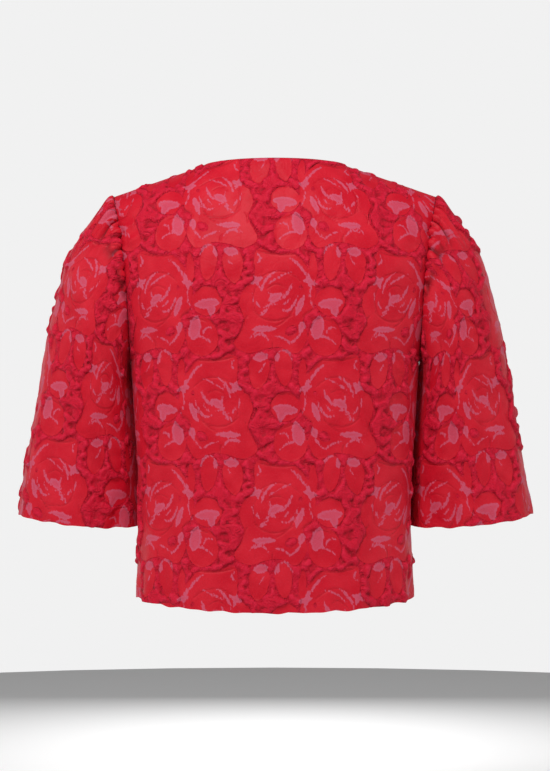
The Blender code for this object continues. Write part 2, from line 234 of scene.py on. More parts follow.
@dataclass(frozen=True)
class Petals(Drawn):
    """A closed shape with a smooth outline through its points."""

    STEPS = 4

    def outline(self) -> Array:
        """The outline's points, some on each stretch of a smooth closed curve."""
        marks = np.array(self.points)
        before, after, later = (np.roll(marks, -k, axis=0) for k in (-1, 1, 2))
        stretches = []
        for t in np.arange(self.STEPS) / self.STEPS:
            stretches.append(0.5 * (
                2 * marks
                + (after - before) * t
                + (2 * before - 5 * marks + 4 * after - later) * t * t
                + (3 * marks - before - 3 * after + later) * t ** 3
            ))
        return np.stack(stretches, axis=1).reshape(-1, 2)

    def draw(self, right: Array, down: Array) -> Array:
        """How far inside the shape each place is, in millimetres, less than 0 outside."""
        points = self.outline()
        away = np.full(np.shape(right), -FAR_OUT)
        within = np.zeros(np.shape(right), dtype=bool)
        for start, end in zip(points, np.roll(points, -1, axis=0)):
            away = np.minimum(away, away_from_line(right, down, start, end)[0])
            crosses = (start[1] > down) != (end[1] > down)
            rise = end[1] - start[1] if end[1] != start[1] else 1.0
            within ^= crosses & (right < start[0] + (down - start[1]) / rise * (end[0] - start[0]))
        return np.where(within, away, -away)


@dataclass(frozen=True)
class Ridge(Drawn):
    """A large pucker of the ground, from its first point to its last."""

    height: float
    half_width: float = 7.0

    SHARPNESS = 1.3

    def draw(self, right: Array, down: Array) -> Array:
        """The height of the ridge at each place."""
        away = away_from_line(right, down, *self.points)[0] / self.half_width
        return self.height * np.clip(1 - away, 0.0, None) ** self.SHARPNESS


def pairs(row: tuple[float, ...]) -> tuple[tuple[float, float], ...]:
    """A row of numbers as points."""
    return tuple(zip(row[::2], row[1::2]))


# The rose's outline, clockwise from its top: right and down, in millimetres from its heart
ROSE = (
    (20, -57), (0, -51), (-22, -50), (-37, -33), (-46, -8), (-42, 14), (-31, 26), (-36, 48), (-24, 67),
    (-4, 60), (14, 62), (34, 67), (51, 56), (39, 30), (45, 8), (40, -8), (27, -20), (27, -48),
)
# Right, down, length, width, turn, fullest and point, as in a Leaf
GAPS = ((-17, 40, 15, 11, 60), (-28, -11, 6, 4, 0))
LEAVES_AND_BUDS = (
    (-63, 5, 36, 35, 80, 0.5, 0.55), (-57, 47, 46, 40, 4, 0.55, 0.5), (-8, 84, 44, 21, -6, 0.40, 0.6),
    (21, 88, 44, 25, 6, 0.38, 0.62), (-30, 90, 36, 10, 4, 0.5, 0.7),
)
PATCHES = (
    (2, 1, 19, 10, 62, 0.55, 0.8), (-27, 11, 27, 7.5, 22, 0.5, 0.9), (-40, -17, 19, 6.5, 106, 0.5, 1.0),
    (-38, -19, 22, 5.5, -16, 0.5, 1.0), (24, -19, 18, 6.5, 62, 0.5, 1.0),
    (24, -18, 17, 5.5, 160, 0.5, 1.0), (15, 38, 31, 7.5, 88, 0.6, 0.9),
    (-29, 36, 15, 8.0, 20, 0.4, 0.8), (-63, 8, 31, 12, 84, 0.45, 0.6), (-68, 15, 18, 11, -10, 0.3, 0.9),
    (-48, 36, 30, 15.5, 12, 0.6, 0.7), (0, 72, 14, 5.5, 12, 0.5, 0.8), (19, 71, 19, 11, 80, 0.5, 0.8),
)
# Start, bend and end, each right and down, and the width, as in a Stroke
STROKES = {
    Ink.ACCENT: (
        (-18, -16, -14, -2, -3, 4, 3.4), (-15, -8, -11, -5, -10, 0, 2.2), (5, 1, 10, -2, 8, -8, 2.2),
        (-17, -29, -4, -25, 10, -15, 2.2), (0, -31, 18, -20, 18, -6, 3.0), (7, 8, 12, 12, 16, 13, 2.0),
        (9, 13, 14, 17, 19, 19, 2.2), (12, 18, 16, 21, 21, 22, 1.8), (0, 10, 6, 9, 11, 6, 2.4),
        (24, 5, 23, 9, 20, 13, 2.6), (-25, -2, -16, 24, -4, 14, 2.6), (-15, 2, -12, 8, -7, 10, 1.8),
        (-15, -46, -27, -40, -36, -22, 3.0), (-40, -12, -37, 3, -44, 14, 1.7), (29, -5, 29, 0, 28, 6, 1.5),
        (23, -51, 16, -44, 24, -39, 2.4), (27, 48, 18, 38, 9, 53, 2.8), (24, 41, 28, 44, 33, 51, 1.6),
        (-29, 41, -24, 50, -15, 56, 2.4), (-16, 56, -10, 48, 4, 46, 2.2), (-46, 49, -56, 42, -70, 56, 2.4),
        (-58, 45, -60, 33, -70, 37, 2.2), (-19, 76, -14, 60, -3, 64, 2.8), (14, 78, 17, 84, 21, 90, 1.5),
    ),
    Ink.TUCK: (
        (28, 17, 8, 38, -19, 21, 1.6), (2, 35, -16, 28, -23, 6, 1.2), (-27, -18, -6, -40, 20, -22, 1.0),
        (24, -12, 33, 6, 22, 22, 1.0), (-10, -10, 2, -20, 12, -8, 1.0), (-44, 15, -36, 18, -30, 25, 2.4),
        (34, 22, 40, 26, 38, 36, 1.2), (8, 50, 4, 54, 6, 62, 1.4), (-42, 22, -52, 24, -64, 30, 1.6),
        (22, -54, 0, -48, -24, -51, 2.2),
    ),
}
# Start and end, each right and down, the height and the half-width where it isn't the usual one
RIDGES = (
    (42, -14, 62, -22, 5.0), (62, -22, 80, -10, 5.5), (62, -4, 54, 14, 4.5), (38, 29, 52, 20, 5.0),
    (52, 20, 82, 27, 6.0), (52, 22, 52, 46, 5.0), (60, 58, 76, 44, 4.5), (-50, 74, -38, 86, 4.5),
    (-24, 70, -38, 92, 4.0), (14, 112, -6, 110, 4.5), (-6, 110, -28, 122, 5.5), (8, 116, 20, 140, 4.5),
    (80, -10, 92, -5, 4.0), (50, 3, 64, 21, 4.5, 5.0), (36, 38, 52, 47, 4.0, 5.5),
    (52, 47, 68, 42, 4.0, 5.5), (40, 55, 58, 60, 4.5, 5.0), (62, 65, 75, 71, 3.5, 4.5),
    (75, 71, 92, 69, 3.5, 4.5), (29, -40, 39, -37, 3.5, 4.0), (29, -30, 41, -27, 3.5, 4.0),
    (31, -22, 43, -17, 3.5, 4.0), (-41, 60, -29, 71, 4.0, 5.0), (-32, 114, -14, 104, 4.5, 5.5),
    (5, 104, 7, 92, 3.5, 4.0), (22, 114, 36, 108, 4.0, 5.0), (36, 72, 40, 88, 3.5, 4.5),
)


@dataclass
class Chart:
    """The woven repeat: a row of roses with leaves and buds, and its mirror image half a repeat along.

    Attributes:
        across: width of the repeat, in metres.
        up: height of its two rows, in metres.
        pitch: millimetres between the places at which the chart is drawn.
        margin: how far round a shape its distances are drawn, in millimetres.
        fields: what is drawn, for each ink.
    """

    across: float = 0.146
    up: float = 0.250
    pitch: float = 0.5
    margin: float = 9.0
    fields: dict[Ink, Array] = field(default_factory=dict)

    def draw(self) -> None:
        """Draws the chart's shapes, as distances inside them in millimetres, and its ridges' heights."""
        size = round(self.up / MM / self.pitch), round(self.across / MM / self.pitch)
        strokes = {ink: [Stroke(pairs(row[:6]), row[6]) for row in rows] for ink, rows in STROKES.items()}
        shapes = {
            Ink.ISLAND: [Petals(ROSE)] + [Leaf(*row) for row in LEAVES_AND_BUDS],
            Ink.GAP: [Leaf(*row) for row in GAPS],
            Ink.ACCENT: [Leaf(*row) for row in PATCHES] + strokes[Ink.ACCENT],
            Ink.TUCK: strokes[Ink.TUCK],
            Ink.RIDGE: [Ridge(pairs(row[:4]), *row[4:]) for row in RIDGES],
        }
        for ink, drawn in shapes.items():
            self.fields[ink] = np.full(size, 0.0 if ink is Ink.RIDGE else FAR_OUT)
            for shape in drawn:
                self.stamp(self.fields[ink], shape.box(), shape.draw)
        self.fields[Ink.ISLAND] = np.minimum(self.fields[Ink.ISLAND], -self.fields[Ink.GAP])

    def stamp(self, into: Array, box: Box, draw: Callable[[Array, Array], Array]) -> None:
        """Draws one shape in both rows, round the edges of the repeat.

        Args:
            into: the field, which keeps the larger value.
            box: where the shape may lie, in millimetres right and down.
            draw: gives the shape's value at places.
        """
        rows, columns = into.shape
        x0, x1, y0, y1 = (round(value / self.pitch) for value in box)
        pad = round(self.margin / self.pitch)
        j, i = np.meshgrid(np.arange(x0 - pad, x1 + pad + 1), np.arange(y0 - pad, y1 + pad + 1))
        values = draw(j * self.pitch, i * self.pitch)
        for side, column, row in ((1, 0, 0), (-1, columns // 2, rows // 2)):
            place = (row - i) % rows, (column + side * j) % columns
            into[place] = np.maximum(into[place], values)

    def read(self, ink: Ink, right: Array, up: Array) -> Array:
        """Reads one ink's field at places of the flat cloth."""
        return self.at(self.fields[ink], right, up)

    def at(self, values: Array, right: Array, up: Array) -> Array:
        """Reads a field of the repeat at places of the flat cloth.

        Args:
            values: the field, rows up and columns to the right, over whole repeats.
            right: places to the right of a rose's heart, in metres.
            up: places above it, in metres.

        Returns:
            The field's value at each place.
        """
        rows, columns = values.shape
        wide = self.across * max(1, round(columns * self.up / rows / self.across))
        x, y = right / wide * columns % columns, up / self.up * rows % rows
        i, j = np.floor(y).astype(int) % rows, np.floor(x).astype(int) % columns
        s, t = y - np.floor(y), x - np.floor(x)
        i1, j1 = (i + 1) % rows, (j + 1) % columns
        low = blend(values[i, j], values[i, j1], t)
        return blend(low, blend(values[i1, j], values[i1, j1], t), s)


@dataclass
class Puckers:
    """The longer outer layer of the cloth, let go between the places where it is woven down.

    Attributes:
        chart: the woven repeat.
        repeats: repeats side by side, so that the puckers differ.
        pitch: millimetres between the points of the layer.
        seed: picks the puckers.
        ground_growth: how much longer the layer is than the backing on the ground.
        island_growth: and on the islands.
        steps: rounds of the simulation.
        moved: the shift of each point to the right, up and outwards, in millimetres.
        hollow: how far each point then lies below the cloth round it, in millimetres; the finish paints shade
            where it is positive and highlight where it is negative.
    """

    chart: Chart
    repeats: int = 2
    pitch: float = 1.5
    seed: int = 11
    ground_growth: float = 1.20
    island_growth: float = 1.004
    steps: int = 420
    moved: Array = field(default_factory=lambda: np.zeros((3, 1, 1)))
    hollow: Array = field(default_factory=lambda: np.zeros((1, 1)))

    # The first swell of the ground: the wavelengths and heights of its noise, narrow and wide
    NARROW_SWELL = (9.0, 1.4)
    WIDE_SWELL = (24.0, 1.5)

    # How fast the threads pull, how fast the layer comes back to its place on the ground and on the
    # islands, and the shares by which it is held under its greatest height and at the islands' level
    PULL = 0.36
    RETURN = (0.003, 0.15)
    HELD_DOWN = 0.3
    HELD_LEVEL = 0.12
    HIGHEST = 5.0
    ISLAND_LEVEL = 0.5

    # The finished relief: its lowest ground, the simulated puckers' height and sharpness, the
    # wavelength and height of its creases, the charted ridges' share and the greatest height
    LOWEST_GROUND = 0.3
    BUCKLED = 1.8
    PINCH = 1.6
    WIDE_CREASES = (27.0, 1.2)
    FINE_CREASES = (9.5, 0.4)
    RIDGE_SHARE = 0.62
    TALLEST = 3.9

    # The islands' relief: their level, the wavelength and height of their sway, and their tucks' depth
    FLAT_LEVEL = 0.4
    SWAY = (26.0, 0.2)
    TUCK_DEPTH = 0.4

    def settle(self) -> None:
        """Runs the simulation and shapes the relief from it."""
        chart = self.chart
        columns = round(self.repeats * chart.across / MM / self.pitch)
        rows = round(chart.up / MM / self.pitch)
        size = np.array([self.repeats * chart.across / MM / columns, chart.up / MM / rows])
        places = np.meshgrid(np.arange(columns) * size[0] * MM, np.arange(rows) * size[1] * MM)
        rng = np.random.default_rng(self.seed)

        def noise(wave: float) -> Array:
            """The next even noise of about one wavelength."""
            return self.noise(rng, rows, columns, size, wave)

        island, ridges = chart.read(Ink.ISLAND, *places), chart.read(Ink.RIDGE, *places)
        on_island = smooth(island / 1.6 + 0.5)
        open_ground = smooth((-island - 3.0) / 5.0)
        narrow, wide = (noise(wave) * height for wave, height in (self.NARROW_SWELL, self.WIDE_SWELL))
        moved = np.zeros((3, rows, columns))
        swell = ridges * open_ground + np.clip(blend(narrow, wide, open_ground), 0.0, None)
        moved[2] = blend(swell, self.ISLAND_LEVEL, on_island)
        growth = blend(self.ground_growth, self.island_growth, smooth(island / 2.0 + 0.4))
        self.simulate(moved, on_island, self.links(growth, size, smooth((-island - 4.0) / 5.0)))

        sway = noise(self.SWAY[0]) * self.SWAY[1]
        ground = self.LOWEST_GROUND + self.BUCKLED * (moved[2] / self.HIGHEST) ** self.PINCH
        ground += self.WIDE_CREASES[1] * open_ground * self.creases(noise(self.WIDE_CREASES[0]))
        ground += self.FINE_CREASES[1] * self.creases(noise(self.FINE_CREASES[0]))
        ground = np.minimum(ground + self.RIDGE_SHARE * ridges * smooth((0.5 - island) / 3.0), self.TALLEST)
        flat = self.FLAT_LEVEL + sway - self.TUCK_DEPTH * smooth(chart.read(Ink.TUCK, *places) + 0.9)
        moved[2] = blend(ground, flat, smooth(island / 2.4 + 0.8))
        self.moved = moved
        # How far each point lies below its neighbours: the finish paints shade in these hollows and highlight
        # on the crests
        near = [(i, j) for i in range(-2, 3) for j in range(-2, 3)]
        self.hollow = np.mean([np.roll(moved[2], shift, axis=(0, 1)) for shift in near], axis=0) - moved[2]

    def simulate(self, moved: Array, on_island: Array, links: list) -> None:
        """Lets the layer buckle.

        Args:
            moved: the points' shifts, which it changes.
            on_island: from 0 to 1, where the layer is woven down.
            links: the layer's threads.
        """
        for _ in range(self.steps):
            push = np.zeros_like(moved)
            for shift, span, rest, strength in links:
                way = np.roll(moved, shift, axis=(1, 2)) - moved + span[:, None, None]
                length = np.sqrt((way * way).sum(axis=0))
                pull = way * (0.5 * strength * (1 - rest / length))
                push += pull - np.roll(pull, (-shift[0], -shift[1]), axis=(1, 2))
            moved += self.PULL * push
            moved[:2] *= 1 - blend(*self.RETURN, on_island)
            moved[2] = np.maximum(moved[2], 0.0)
            moved[2] -= np.clip(moved[2] - self.HIGHEST, 0.0, None) * self.HELD_DOWN
            moved[2] += on_island * self.HELD_LEVEL * (self.ISLAND_LEVEL - moved[2])

    @staticmethod
    def creases(noise: Array) -> Array:
        """Sharp crests with straight sides, along the lines where the noise is 0."""
        return np.clip(1 - np.abs(noise) / 1.2, 0.0, None) ** 1.15

    @staticmethod
    def noise(rng: np.random.Generator, rows: int, columns: int, size: Array, wave: float) -> Array:
        """Even noise of about one wavelength that repeats at the patch's edges.

        Args:
            rng: the source of the noise.
            rows: points up.
            columns: points across.
            size: millimetres between points, across and up.
            wave: the wavelength in millimetres.

        Returns:
            The noise, with a spread of 1.
        """
        up = np.fft.fftfreq(rows, size[1])[:, None]
        across = np.fft.fftfreq(columns, size[0])[None, :]
        band = np.exp(-(((np.hypot(up, across) * wave - 1) / 0.28) ** 2))
        made = np.fft.ifft2(np.fft.fft2(rng.standard_normal((rows, columns))) * band).real
        return made / made.std()

    @staticmethod
    def links(growth: Array, size: Array, stiff: Array) -> list[tuple[tuple[int, int], Array, Array, Array]]:
        """The layer's threads, between points that are up to seven steps apart.

        Args:
            growth: how much longer the layer is than the backing, at each point.
            size: millimetres between points, across and up.
            stiff: from 0 to 1, how well each point resists bending.

        Returns:
            Each link's roll, its span, its length at rest and its strength.
        """
        made = []
        for right, up, strength in (
            (1, 0, 1.0), (0, 1, 1.0), (1, 1, 0.4), (1, -1, 0.4), (2, 0, 0.35), (0, 2, 0.35),
            (4, 0, 0.25), (0, 4, 0.25), (3, 3, 0.10), (3, -3, 0.10),
            (7, 0, 0.16 * stiff), (0, 7, 0.16 * stiff), (5, 5, 0.06 * stiff), (5, -5, 0.06 * stiff),
        ):
            steps = max(right, abs(up))
            places = [(-up * k // steps, -right * k // steps) for k in range(steps + 1)]
            grown = [np.roll(growth, place, axis=(0, 1)) for place in places]
            span = np.array([right * size[0], up * size[1], 0.0])
            made.append(((-up, -right), span, np.linalg.norm(span) * np.mean(grown, axis=0), strength))
        return made


@dataclass
class Grid:
    """A cut piece as a grid of points, from its hem up and from side to side.

    On a panel the woven rows stay level. On a sleeve they follow its rings.

    Attributes:
        base: the plain form's points, rows by columns by 3.
        closed: whether the last column meets the first one.
        middle: the column of the middle line.
        side: 1 where columns run to the right as seen from outside, otherwise -1.
        right: each point's place on the flat cloth, to the right of the middle line.
        up: and above the hem's middle.
        above_hem: how far it is above the hem beside it.
        across_way: the surface's direction to the right.
        up_way: and up.
        normal: and outwards.
    """

    base: Array
    closed: bool
    middle: int
    side: float
    right: Array = field(init=False)
    up: Array = field(init=False)
    above_hem: Array = field(init=False)
    across_way: Array = field(init=False)
    up_way: Array = field(init=False)
    normal: Array = field(init=False)

    LEAST_SLOPE = 0.3

    def __post_init__(self) -> None:
        """Measures the flat cloth and finds the surface's directions."""
        base = self.base
        along = np.gradient(base, axis=0)
        if self.closed:
            across = (np.roll(base, -1, axis=1) - np.roll(base, 1, axis=1)) / 2
        else:
            across = np.gradient(base, axis=1)
        self.normal = unit(np.cross(across, along) * self.side)
        self.across_way = unit(across) * self.side
        self.up_way = np.cross(self.normal, self.across_way)
        steps = np.diff(base, axis=0)
        rises = np.linalg.norm(steps, axis=2)
        if not self.closed:
            slope = np.sqrt(1 - ((self.normal[1:, :, 2] + self.normal[:-1, :, 2]) / 2) ** 2)
            rises = np.abs(steps[..., 2]) / np.maximum(slope, self.LEAST_SLOPE)
        self.above_hem = np.concatenate([np.zeros((1, base.shape[1])), np.cumsum(rises, axis=0)])
        hem = base[0, :, 2] - base[0, self.middle, 2]
        self.up = self.above_hem + (0.0 if self.closed else hem)
        runs = np.linalg.norm(np.diff(base, axis=1), axis=2)
        places = np.concatenate([np.zeros((base.shape[0], 1)), np.cumsum(runs, axis=1)], axis=1)
        self.right = self.side * (places - places[:, self.middle:self.middle + 1])


def unit(vectors: Array) -> Array:
    """Vectors made one long."""
    return vectors / np.maximum(np.linalg.norm(vectors, axis=-1, keepdims=True), 1e-12)


@dataclass(frozen=True)
class Panel:
    """The cut of the back or the front.

    Attributes:
        name: the piece's name, which is its node's too.
        facing: 1 for the back, -1 for the front.
        hole_depth: how far the armhole reaches from the plane of the side seams.
        hole_inset: how far its deepest place lies in from the side.
        neck_reach: how far the neckline's middle stands from that plane.
        neck_level: how high the neckline's middle is.
        neck_roundness: how squarely the cloth turns over below the neckline.
        hem: height of the hem's middle.
        rose: where the heart of one rose lies, to the right of the middle line and above the hem.
    """

    name: str
    facing: int
    hole_depth: float
    hole_inset: float
    neck_reach: float
    neck_level: float
    neck_roundness: float
    hem: float
    rose: tuple[float, float]


BACK = Panel("back", 1, 0.058, 0.006, 0.060, 0.0045, 1.20, -0.5375, (-0.0707, 0.248))
FRONT = Panel("front", -1, 0.054, 0.014, 0.088, -0.1100, 1.00, -0.5330, (-0.0690, 0.248))

FOLDS = (
    ("back", -0.72, 0.13, 0.0030, 1.1),
    ("back", -0.30, 0.16, 0.0022, 0.7),
    ("back", 0.12, 0.14, -0.0020, 0.6),
    ("back", 0.66, 0.14, 0.0028, 1.0),
    ("front", -0.62, 0.15, 0.0034, 1.1),
    ("front", -0.18, 0.13, -0.0022, 0.7),
    ("front", 0.25, 0.15, 0.0026, 0.8),
    ("front", 0.70, 0.14, 0.0032, 1.1),
    ("sleeve", -0.58, 0.13, 0.0032, 0.9),
    ("sleeve", -0.16, 0.12, 0.0026, 0.6),
    ("sleeve", 0.20, 0.11, 0.0034, 0.8),
    ("sleeve", 0.50, 0.12, 0.0036, 0.9),
)


def hanging_folds(piece: str, place: Array, rise: Array) -> Array:
    """How far the soft folds move a piece outwards.

    Args:
        piece: back, front or sleeve.
        place: share of the way round, from -1 to 1.
        rise: how far up, 0 at the hem.

    Returns:
        The move outwards in metres.
    """
    total = np.zeros(np.broadcast(place, rise).shape)
    for owner, middle, half_width, depth, start in FOLDS:
        if owner == piece:
            total += depth * bump((place - middle) / half_width) * smooth(1 - rise / start)
    return total


@dataclass(frozen=True)
class Body:
    """The form of the back and the front: level sections from the hem to the neck.

    Attributes:
        neck_half: half of the width between the neck points.
        shoulder_half: half of the width between the shoulder points.
        shoulder_drop: how far the shoulder points lie below the neck points.
        armhole_height: height of the armhole.
        underarm_half: half of the width at the armhole's foot.
        side_hem: height of the hem at the side seams.
        squareness: how square a level section is, 2 for an ellipse.
        neck_share: share of the top edge that is neckline.
        corner_softening: how fast the neckline's corner softens below the top edge.
        soft_reach_share: share of the way out at which the softened form meets the side.
        soft_width_power: how evenly its columns spread.
        row_crowding: how little the armhole's crowding of rows reaches inwards.
        seam_gap: between two pieces at a seam.
        sleeve_foot: height of the sleeves' lowest place beside the body.
        sleeve_foot_fade: folds and relief come back within this height below it.
    """

    neck_half: float = 0.087
    shoulder_half: float = 0.197
    shoulder_drop: float = 0.0375
    armhole_height: float = 0.2005
    underarm_half: float = 0.177
    side_hem: float = -0.527
    squareness: float = 2.3
    neck_share: float = 0.5
    corner_softening: float = 14
    soft_reach_share: float = 0.62
    soft_width_power: float = 1.1
    row_crowding: float = 6
    seam_gap: float = 0.00004
    sleeve_foot: float = -0.47
    sleeve_foot_fade: float = 0.03

    WIDTHS = Table(
        ("z", "half_width"),
        (
            (-0.545, 0.1712),
            (-0.500, 0.1690),
            (-0.440, 0.1665),
            (-0.380, 0.1678),
            (-0.314, 0.1722),
            (-0.238, 0.1770),
        ),
    )
    DEPTHS = Table(
        ("z", "back", "front"),
        (
            (-0.545, 0.113, 0.116),
            (-0.440, 0.107, 0.117),
            (-0.340, 0.105, 0.120),
            (-0.250, 0.109, 0.124),
            (-0.190, 0.111, 0.119),
            (-0.139, 0.110, 0.108),
            (-0.090, 0.106, 0.096),
            (-0.040, 0.100, 0.086),
            (0.010, 0.094, 0.078),
        ),
    )

    @property
    def armhole_middle(self) -> float:
        """Height of the armhole's middle."""
        return -(self.shoulder_drop + self.armhole_height / 2)

    @property
    def underarm(self) -> float:
        """Height of the armhole's foot."""
        return -(self.shoulder_drop + self.armhole_height)

    def armhole_edge(self, panel: Panel, z: Array) -> tuple[Array, Array]:
        """The edge that the armhole cuts.

        Args:
            panel: the back or the front.
            z: heights.

        Returns:
            How far out the edge is, and how far from the plane of the side seams.
        """
        level = np.clip((z - self.armhole_middle) / (self.armhole_height / 2), -1.0, 1.0)
        across = np.sqrt(1 - level * level)
        middle = (self.shoulder_half + self.underarm_half) / 2
        lean = (self.shoulder_half - self.underarm_half) / 2
        x = middle + lean * level - panel.hole_inset * across * across
        return x, np.where(level > 0, panel.hole_depth, panel.hole_depth * across)

    def section(self, panel: Panel, share: Array, z: Array) -> tuple[Array, Array]:
        """Points of the level sections.

        Args:
            panel: the back or the front.
            share: of the way from a section's middle to its edge.
            z: the sections' heights.

        Returns:
            How far out each point is, and how far from the plane of the side seams.
        """
        depth = self.DEPTHS.read(z, panel.name)
        edge_x, edge_y = self.armhole_edge(panel, z)
        above = z > self.underarm
        cut = (1 - (edge_y / depth) ** self.squareness) ** (1 / self.squareness)
        reach = np.where(above, cut, 1.0)
        half_width = np.where(above, edge_x / reach, self.WIDTHS.read(z, "half_width"))
        turn = share * np.arcsin(reach ** (self.squareness / 2))
        power = 2 / self.squareness
        return half_width * np.sin(turn) ** power, depth * np.maximum(0.0, np.cos(turn)) ** power

    def top_edge(self, panel: Panel, share: Array) -> tuple[Array, Array, Array]:
        """The neckline, then the shoulder seam.

        Args:
            panel: the back or the front.
            share: of the way out to the shoulder point.

        Returns:
            How far out each point is, how far from the plane of the side seams, and its height.
        """
        turn = share / self.neck_share * math.pi / 2
        along = (share - self.neck_share) / (1 - self.neck_share)
        on_neck = share < self.neck_share
        x = np.where(on_neck, self.neck_half * np.sin(turn), blend(self.neck_half, self.shoulder_half, along))
        y = np.where(on_neck, panel.neck_reach * np.cos(turn), 0.0)
        z = np.where(on_neck, panel.neck_level * np.cos(turn), -self.shoulder_drop * along)
        return x, y, z

    def form(self, panel: Panel, across: Array, rise: Array) -> Array:
        """Points of a panel's plain form.

        Args:
            panel: the back or the front.
            across: from -1 to 1, towards +X.
            rise: 0 at the hem, 1 at the underarm and 2 at the top.

        Returns:
            The points, with a last axis of 3.
        """
        share = np.abs(across)
        low_z = blend(blend(panel.hem, self.side_hem, smooth(share)), self.underarm, rise)
        top_x, top_y, top_z = self.top_edge(panel, share)
        up = np.maximum(rise - 1, 0.0)
        turned = (1 - np.cos(math.pi * up)) / 2
        crowding = np.where(up < 0.5, share ** self.row_crowding, smooth(share / self.neck_share))
        high_z = blend(self.underarm, top_z, blend(up, turned, crowding))
        z = np.where(rise <= 1, low_z, high_z)
        x, y = self.section(panel, share, z)
        down = (top_z - z) / (top_z - self.armhole_middle)
        near_top = (rise > 1) & (down < 1)
        square = blend(panel.neck_roundness, 2.0, smooth(share / self.neck_share))
        turning = np.maximum(0.0, 1 - (1 - down) ** 2) ** (1 / square)
        corner = np.clip(1 - down, 0.0, 1.0) ** self.corner_softening
        soft_x = self.shoulder_half * share ** self.soft_width_power
        soft_y = panel.neck_reach * (1 - smooth(share / self.soft_reach_share))
        pull = blend(soft_x, top_x, corner) - self.section(panel, share, top_z)[0]
        x = np.where(near_top, x + (1 - down) ** 2 * pull, x)
        y = np.where(near_top, blend(blend(soft_y, top_y, corner), y, turning), y)
        return np.stack([np.copysign(x, across), panel.facing * y, z], axis=-1)

    def beside_sleeve(self, across: Array, z: Array, fade: float) -> Array:
        """0 at a side seam beside a sleeve, 1 elsewhere."""
        beside = smooth((z - self.sleeve_foot) / self.sleeve_foot_fade)
        return blend(1.0, smooth((1 - np.abs(across)) / fade), beside)

    def off_seam(self, panel: Panel, across: Array, rise: Array, base: Array) -> Array:
        """Moves points off the seams that they lie on, by half of the seam's gap.

        Args:
            panel: the back or the front.
            across: from -1 to 1, towards +X.
            rise: 0 at the hem, 1 at the underarm and 2 at the top.
            base: the points, which it changes.

        Returns:
            The points.
        """
        edge = np.abs(across) == 1.0
        base[..., 0] -= np.where(edge & (rise >= 1), np.copysign(self.seam_gap / 2, across), 0.0)
        on_seam = (edge & (rise <= 1)) | ((rise == 2.0) & (np.abs(across) >= self.neck_share))
        base[..., 1] = np.where(on_seam, panel.facing * self.seam_gap / 2, base[..., 1])
        return base


@dataclass(frozen=True)
class SleeveForm:
    """The form of the left sleeve: rings from the armhole over the puff and down to the hem.

    Attributes:
        arm_lean: how far forward the arm hangs, in radians.
        lean_full: share of the way down at which the rings are square to it.
        inset_end: share of the way down at which the armhole's inset has run out.
        fade: how gently the folds run out beside the body.
    """

    arm_lean: float = math.radians(5.6)
    lean_full: float = 0.5
    inset_end: float = 0.3
    fade: float = 0.5

    RINGS = Table(
        ("along", "outer_x", "outer_z", "inner_x", "inner_z", "back", "front", "middle_y"),
        (
            (0.00, 0.1970, -0.0375, 0.1770, -0.2380, 0.058, 0.054, 0.000),
            (0.04, 0.2040, -0.0408, 0.1786, -0.2415, 0.063, 0.059, 0.000),
            (0.10, 0.2160, -0.0555, 0.1797, -0.2470, 0.067, 0.064, -0.001),
            (0.18, 0.2345, -0.0790, 0.1797, -0.2560, 0.068, 0.066, -0.003),
            (0.28, 0.2542, -0.1120, 0.1785, -0.2700, 0.066, 0.066, -0.006),
            (0.40, 0.2680, -0.1580, 0.1768, -0.2920, 0.064, 0.064, -0.011),
            (0.55, 0.2825, -0.2150, 0.1738, -0.3250, 0.062, 0.062, -0.017),
            (0.70, 0.2935, -0.2800, 0.1703, -0.3650, 0.060, 0.060, -0.022),
            (0.85, 0.3062, -0.3520, 0.1681, -0.4030, 0.060, 0.060, -0.026),
            (1.00, 0.3190, -0.4262, 0.1670, -0.4415, 0.061, 0.061, -0.028),
        ),
    )

    def form(self, along: Array, turn: Array) -> Array:
        """Points of the plain form.

        Args:
            along: from 0 at the armhole to 1 at the hem.
            turn: radians from the outer line towards the back.

        Returns:
            The points, with a last axis of 3.
        """
        cell = {column: self.RINGS.read(along, column) for column in self.RINGS.columns[1:]}
        at_back = np.sin(turn) >= 0
        depth = np.where(at_back, cell["back"], cell["front"])
        inset = np.where(at_back, BACK.hole_inset, FRONT.hole_inset)
        lean = self.arm_lean * smooth(along / self.lean_full)
        x = (cell["outer_x"] + cell["inner_x"]) / 2 + (cell["outer_x"] - cell["inner_x"]) / 2 * np.cos(turn)
        z = (cell["outer_z"] + cell["inner_z"]) / 2 + (cell["outer_z"] - cell["inner_z"]) / 2 * np.cos(turn)
        x = x - inset * np.sin(turn) ** 2 * (1 - smooth(along / self.inset_end))
        y = cell["middle_y"] + depth * np.sin(turn) * np.cos(lean)
        z = z - depth * np.sin(turn) * np.sin(lean)
        return np.stack([x, y, z], axis=-1)

    def off_body(self, turn: Array, fade: float) -> Array:
        """0 on the strip that faces the body, 1 elsewhere."""
        return smooth((1 + np.cos(turn)) / fade)


def mesh_object(name: str, points: Array, polygons: list[Array]) -> bpy.types.Object:
    """Makes a mesh object at the origin.

    Args:
        name: the object's name.
        points: its points, in metres.
        polygons: arrays of corner numbers, one array for each number of corners.

    Returns:
        The object, linked to the scene.
    """
    corners = np.concatenate([polygon.ravel() for polygon in polygons]).astype(np.int32)
    totals = np.concatenate([np.full(len(polygon), polygon.shape[1]) for polygon in polygons])
    mesh = bpy.data.meshes.new(name)
    mesh.vertices.add(len(points))
    mesh.vertices.foreach_set("co", points.astype(np.float32).ravel())
    mesh.loops.add(len(corners))
    mesh.loops.foreach_set("vertex_index", corners)
    mesh.polygons.add(len(totals))
    mesh.polygons.foreach_set("loop_start", np.concatenate([[0], np.cumsum(totals)[:-1]]).astype(np.int32))
    mesh.update(calc_edges=True)
    mesh.validate()
    made = bpy.data.objects.new(name, mesh)
    bpy.context.scene.collection.objects.link(made)
    return made


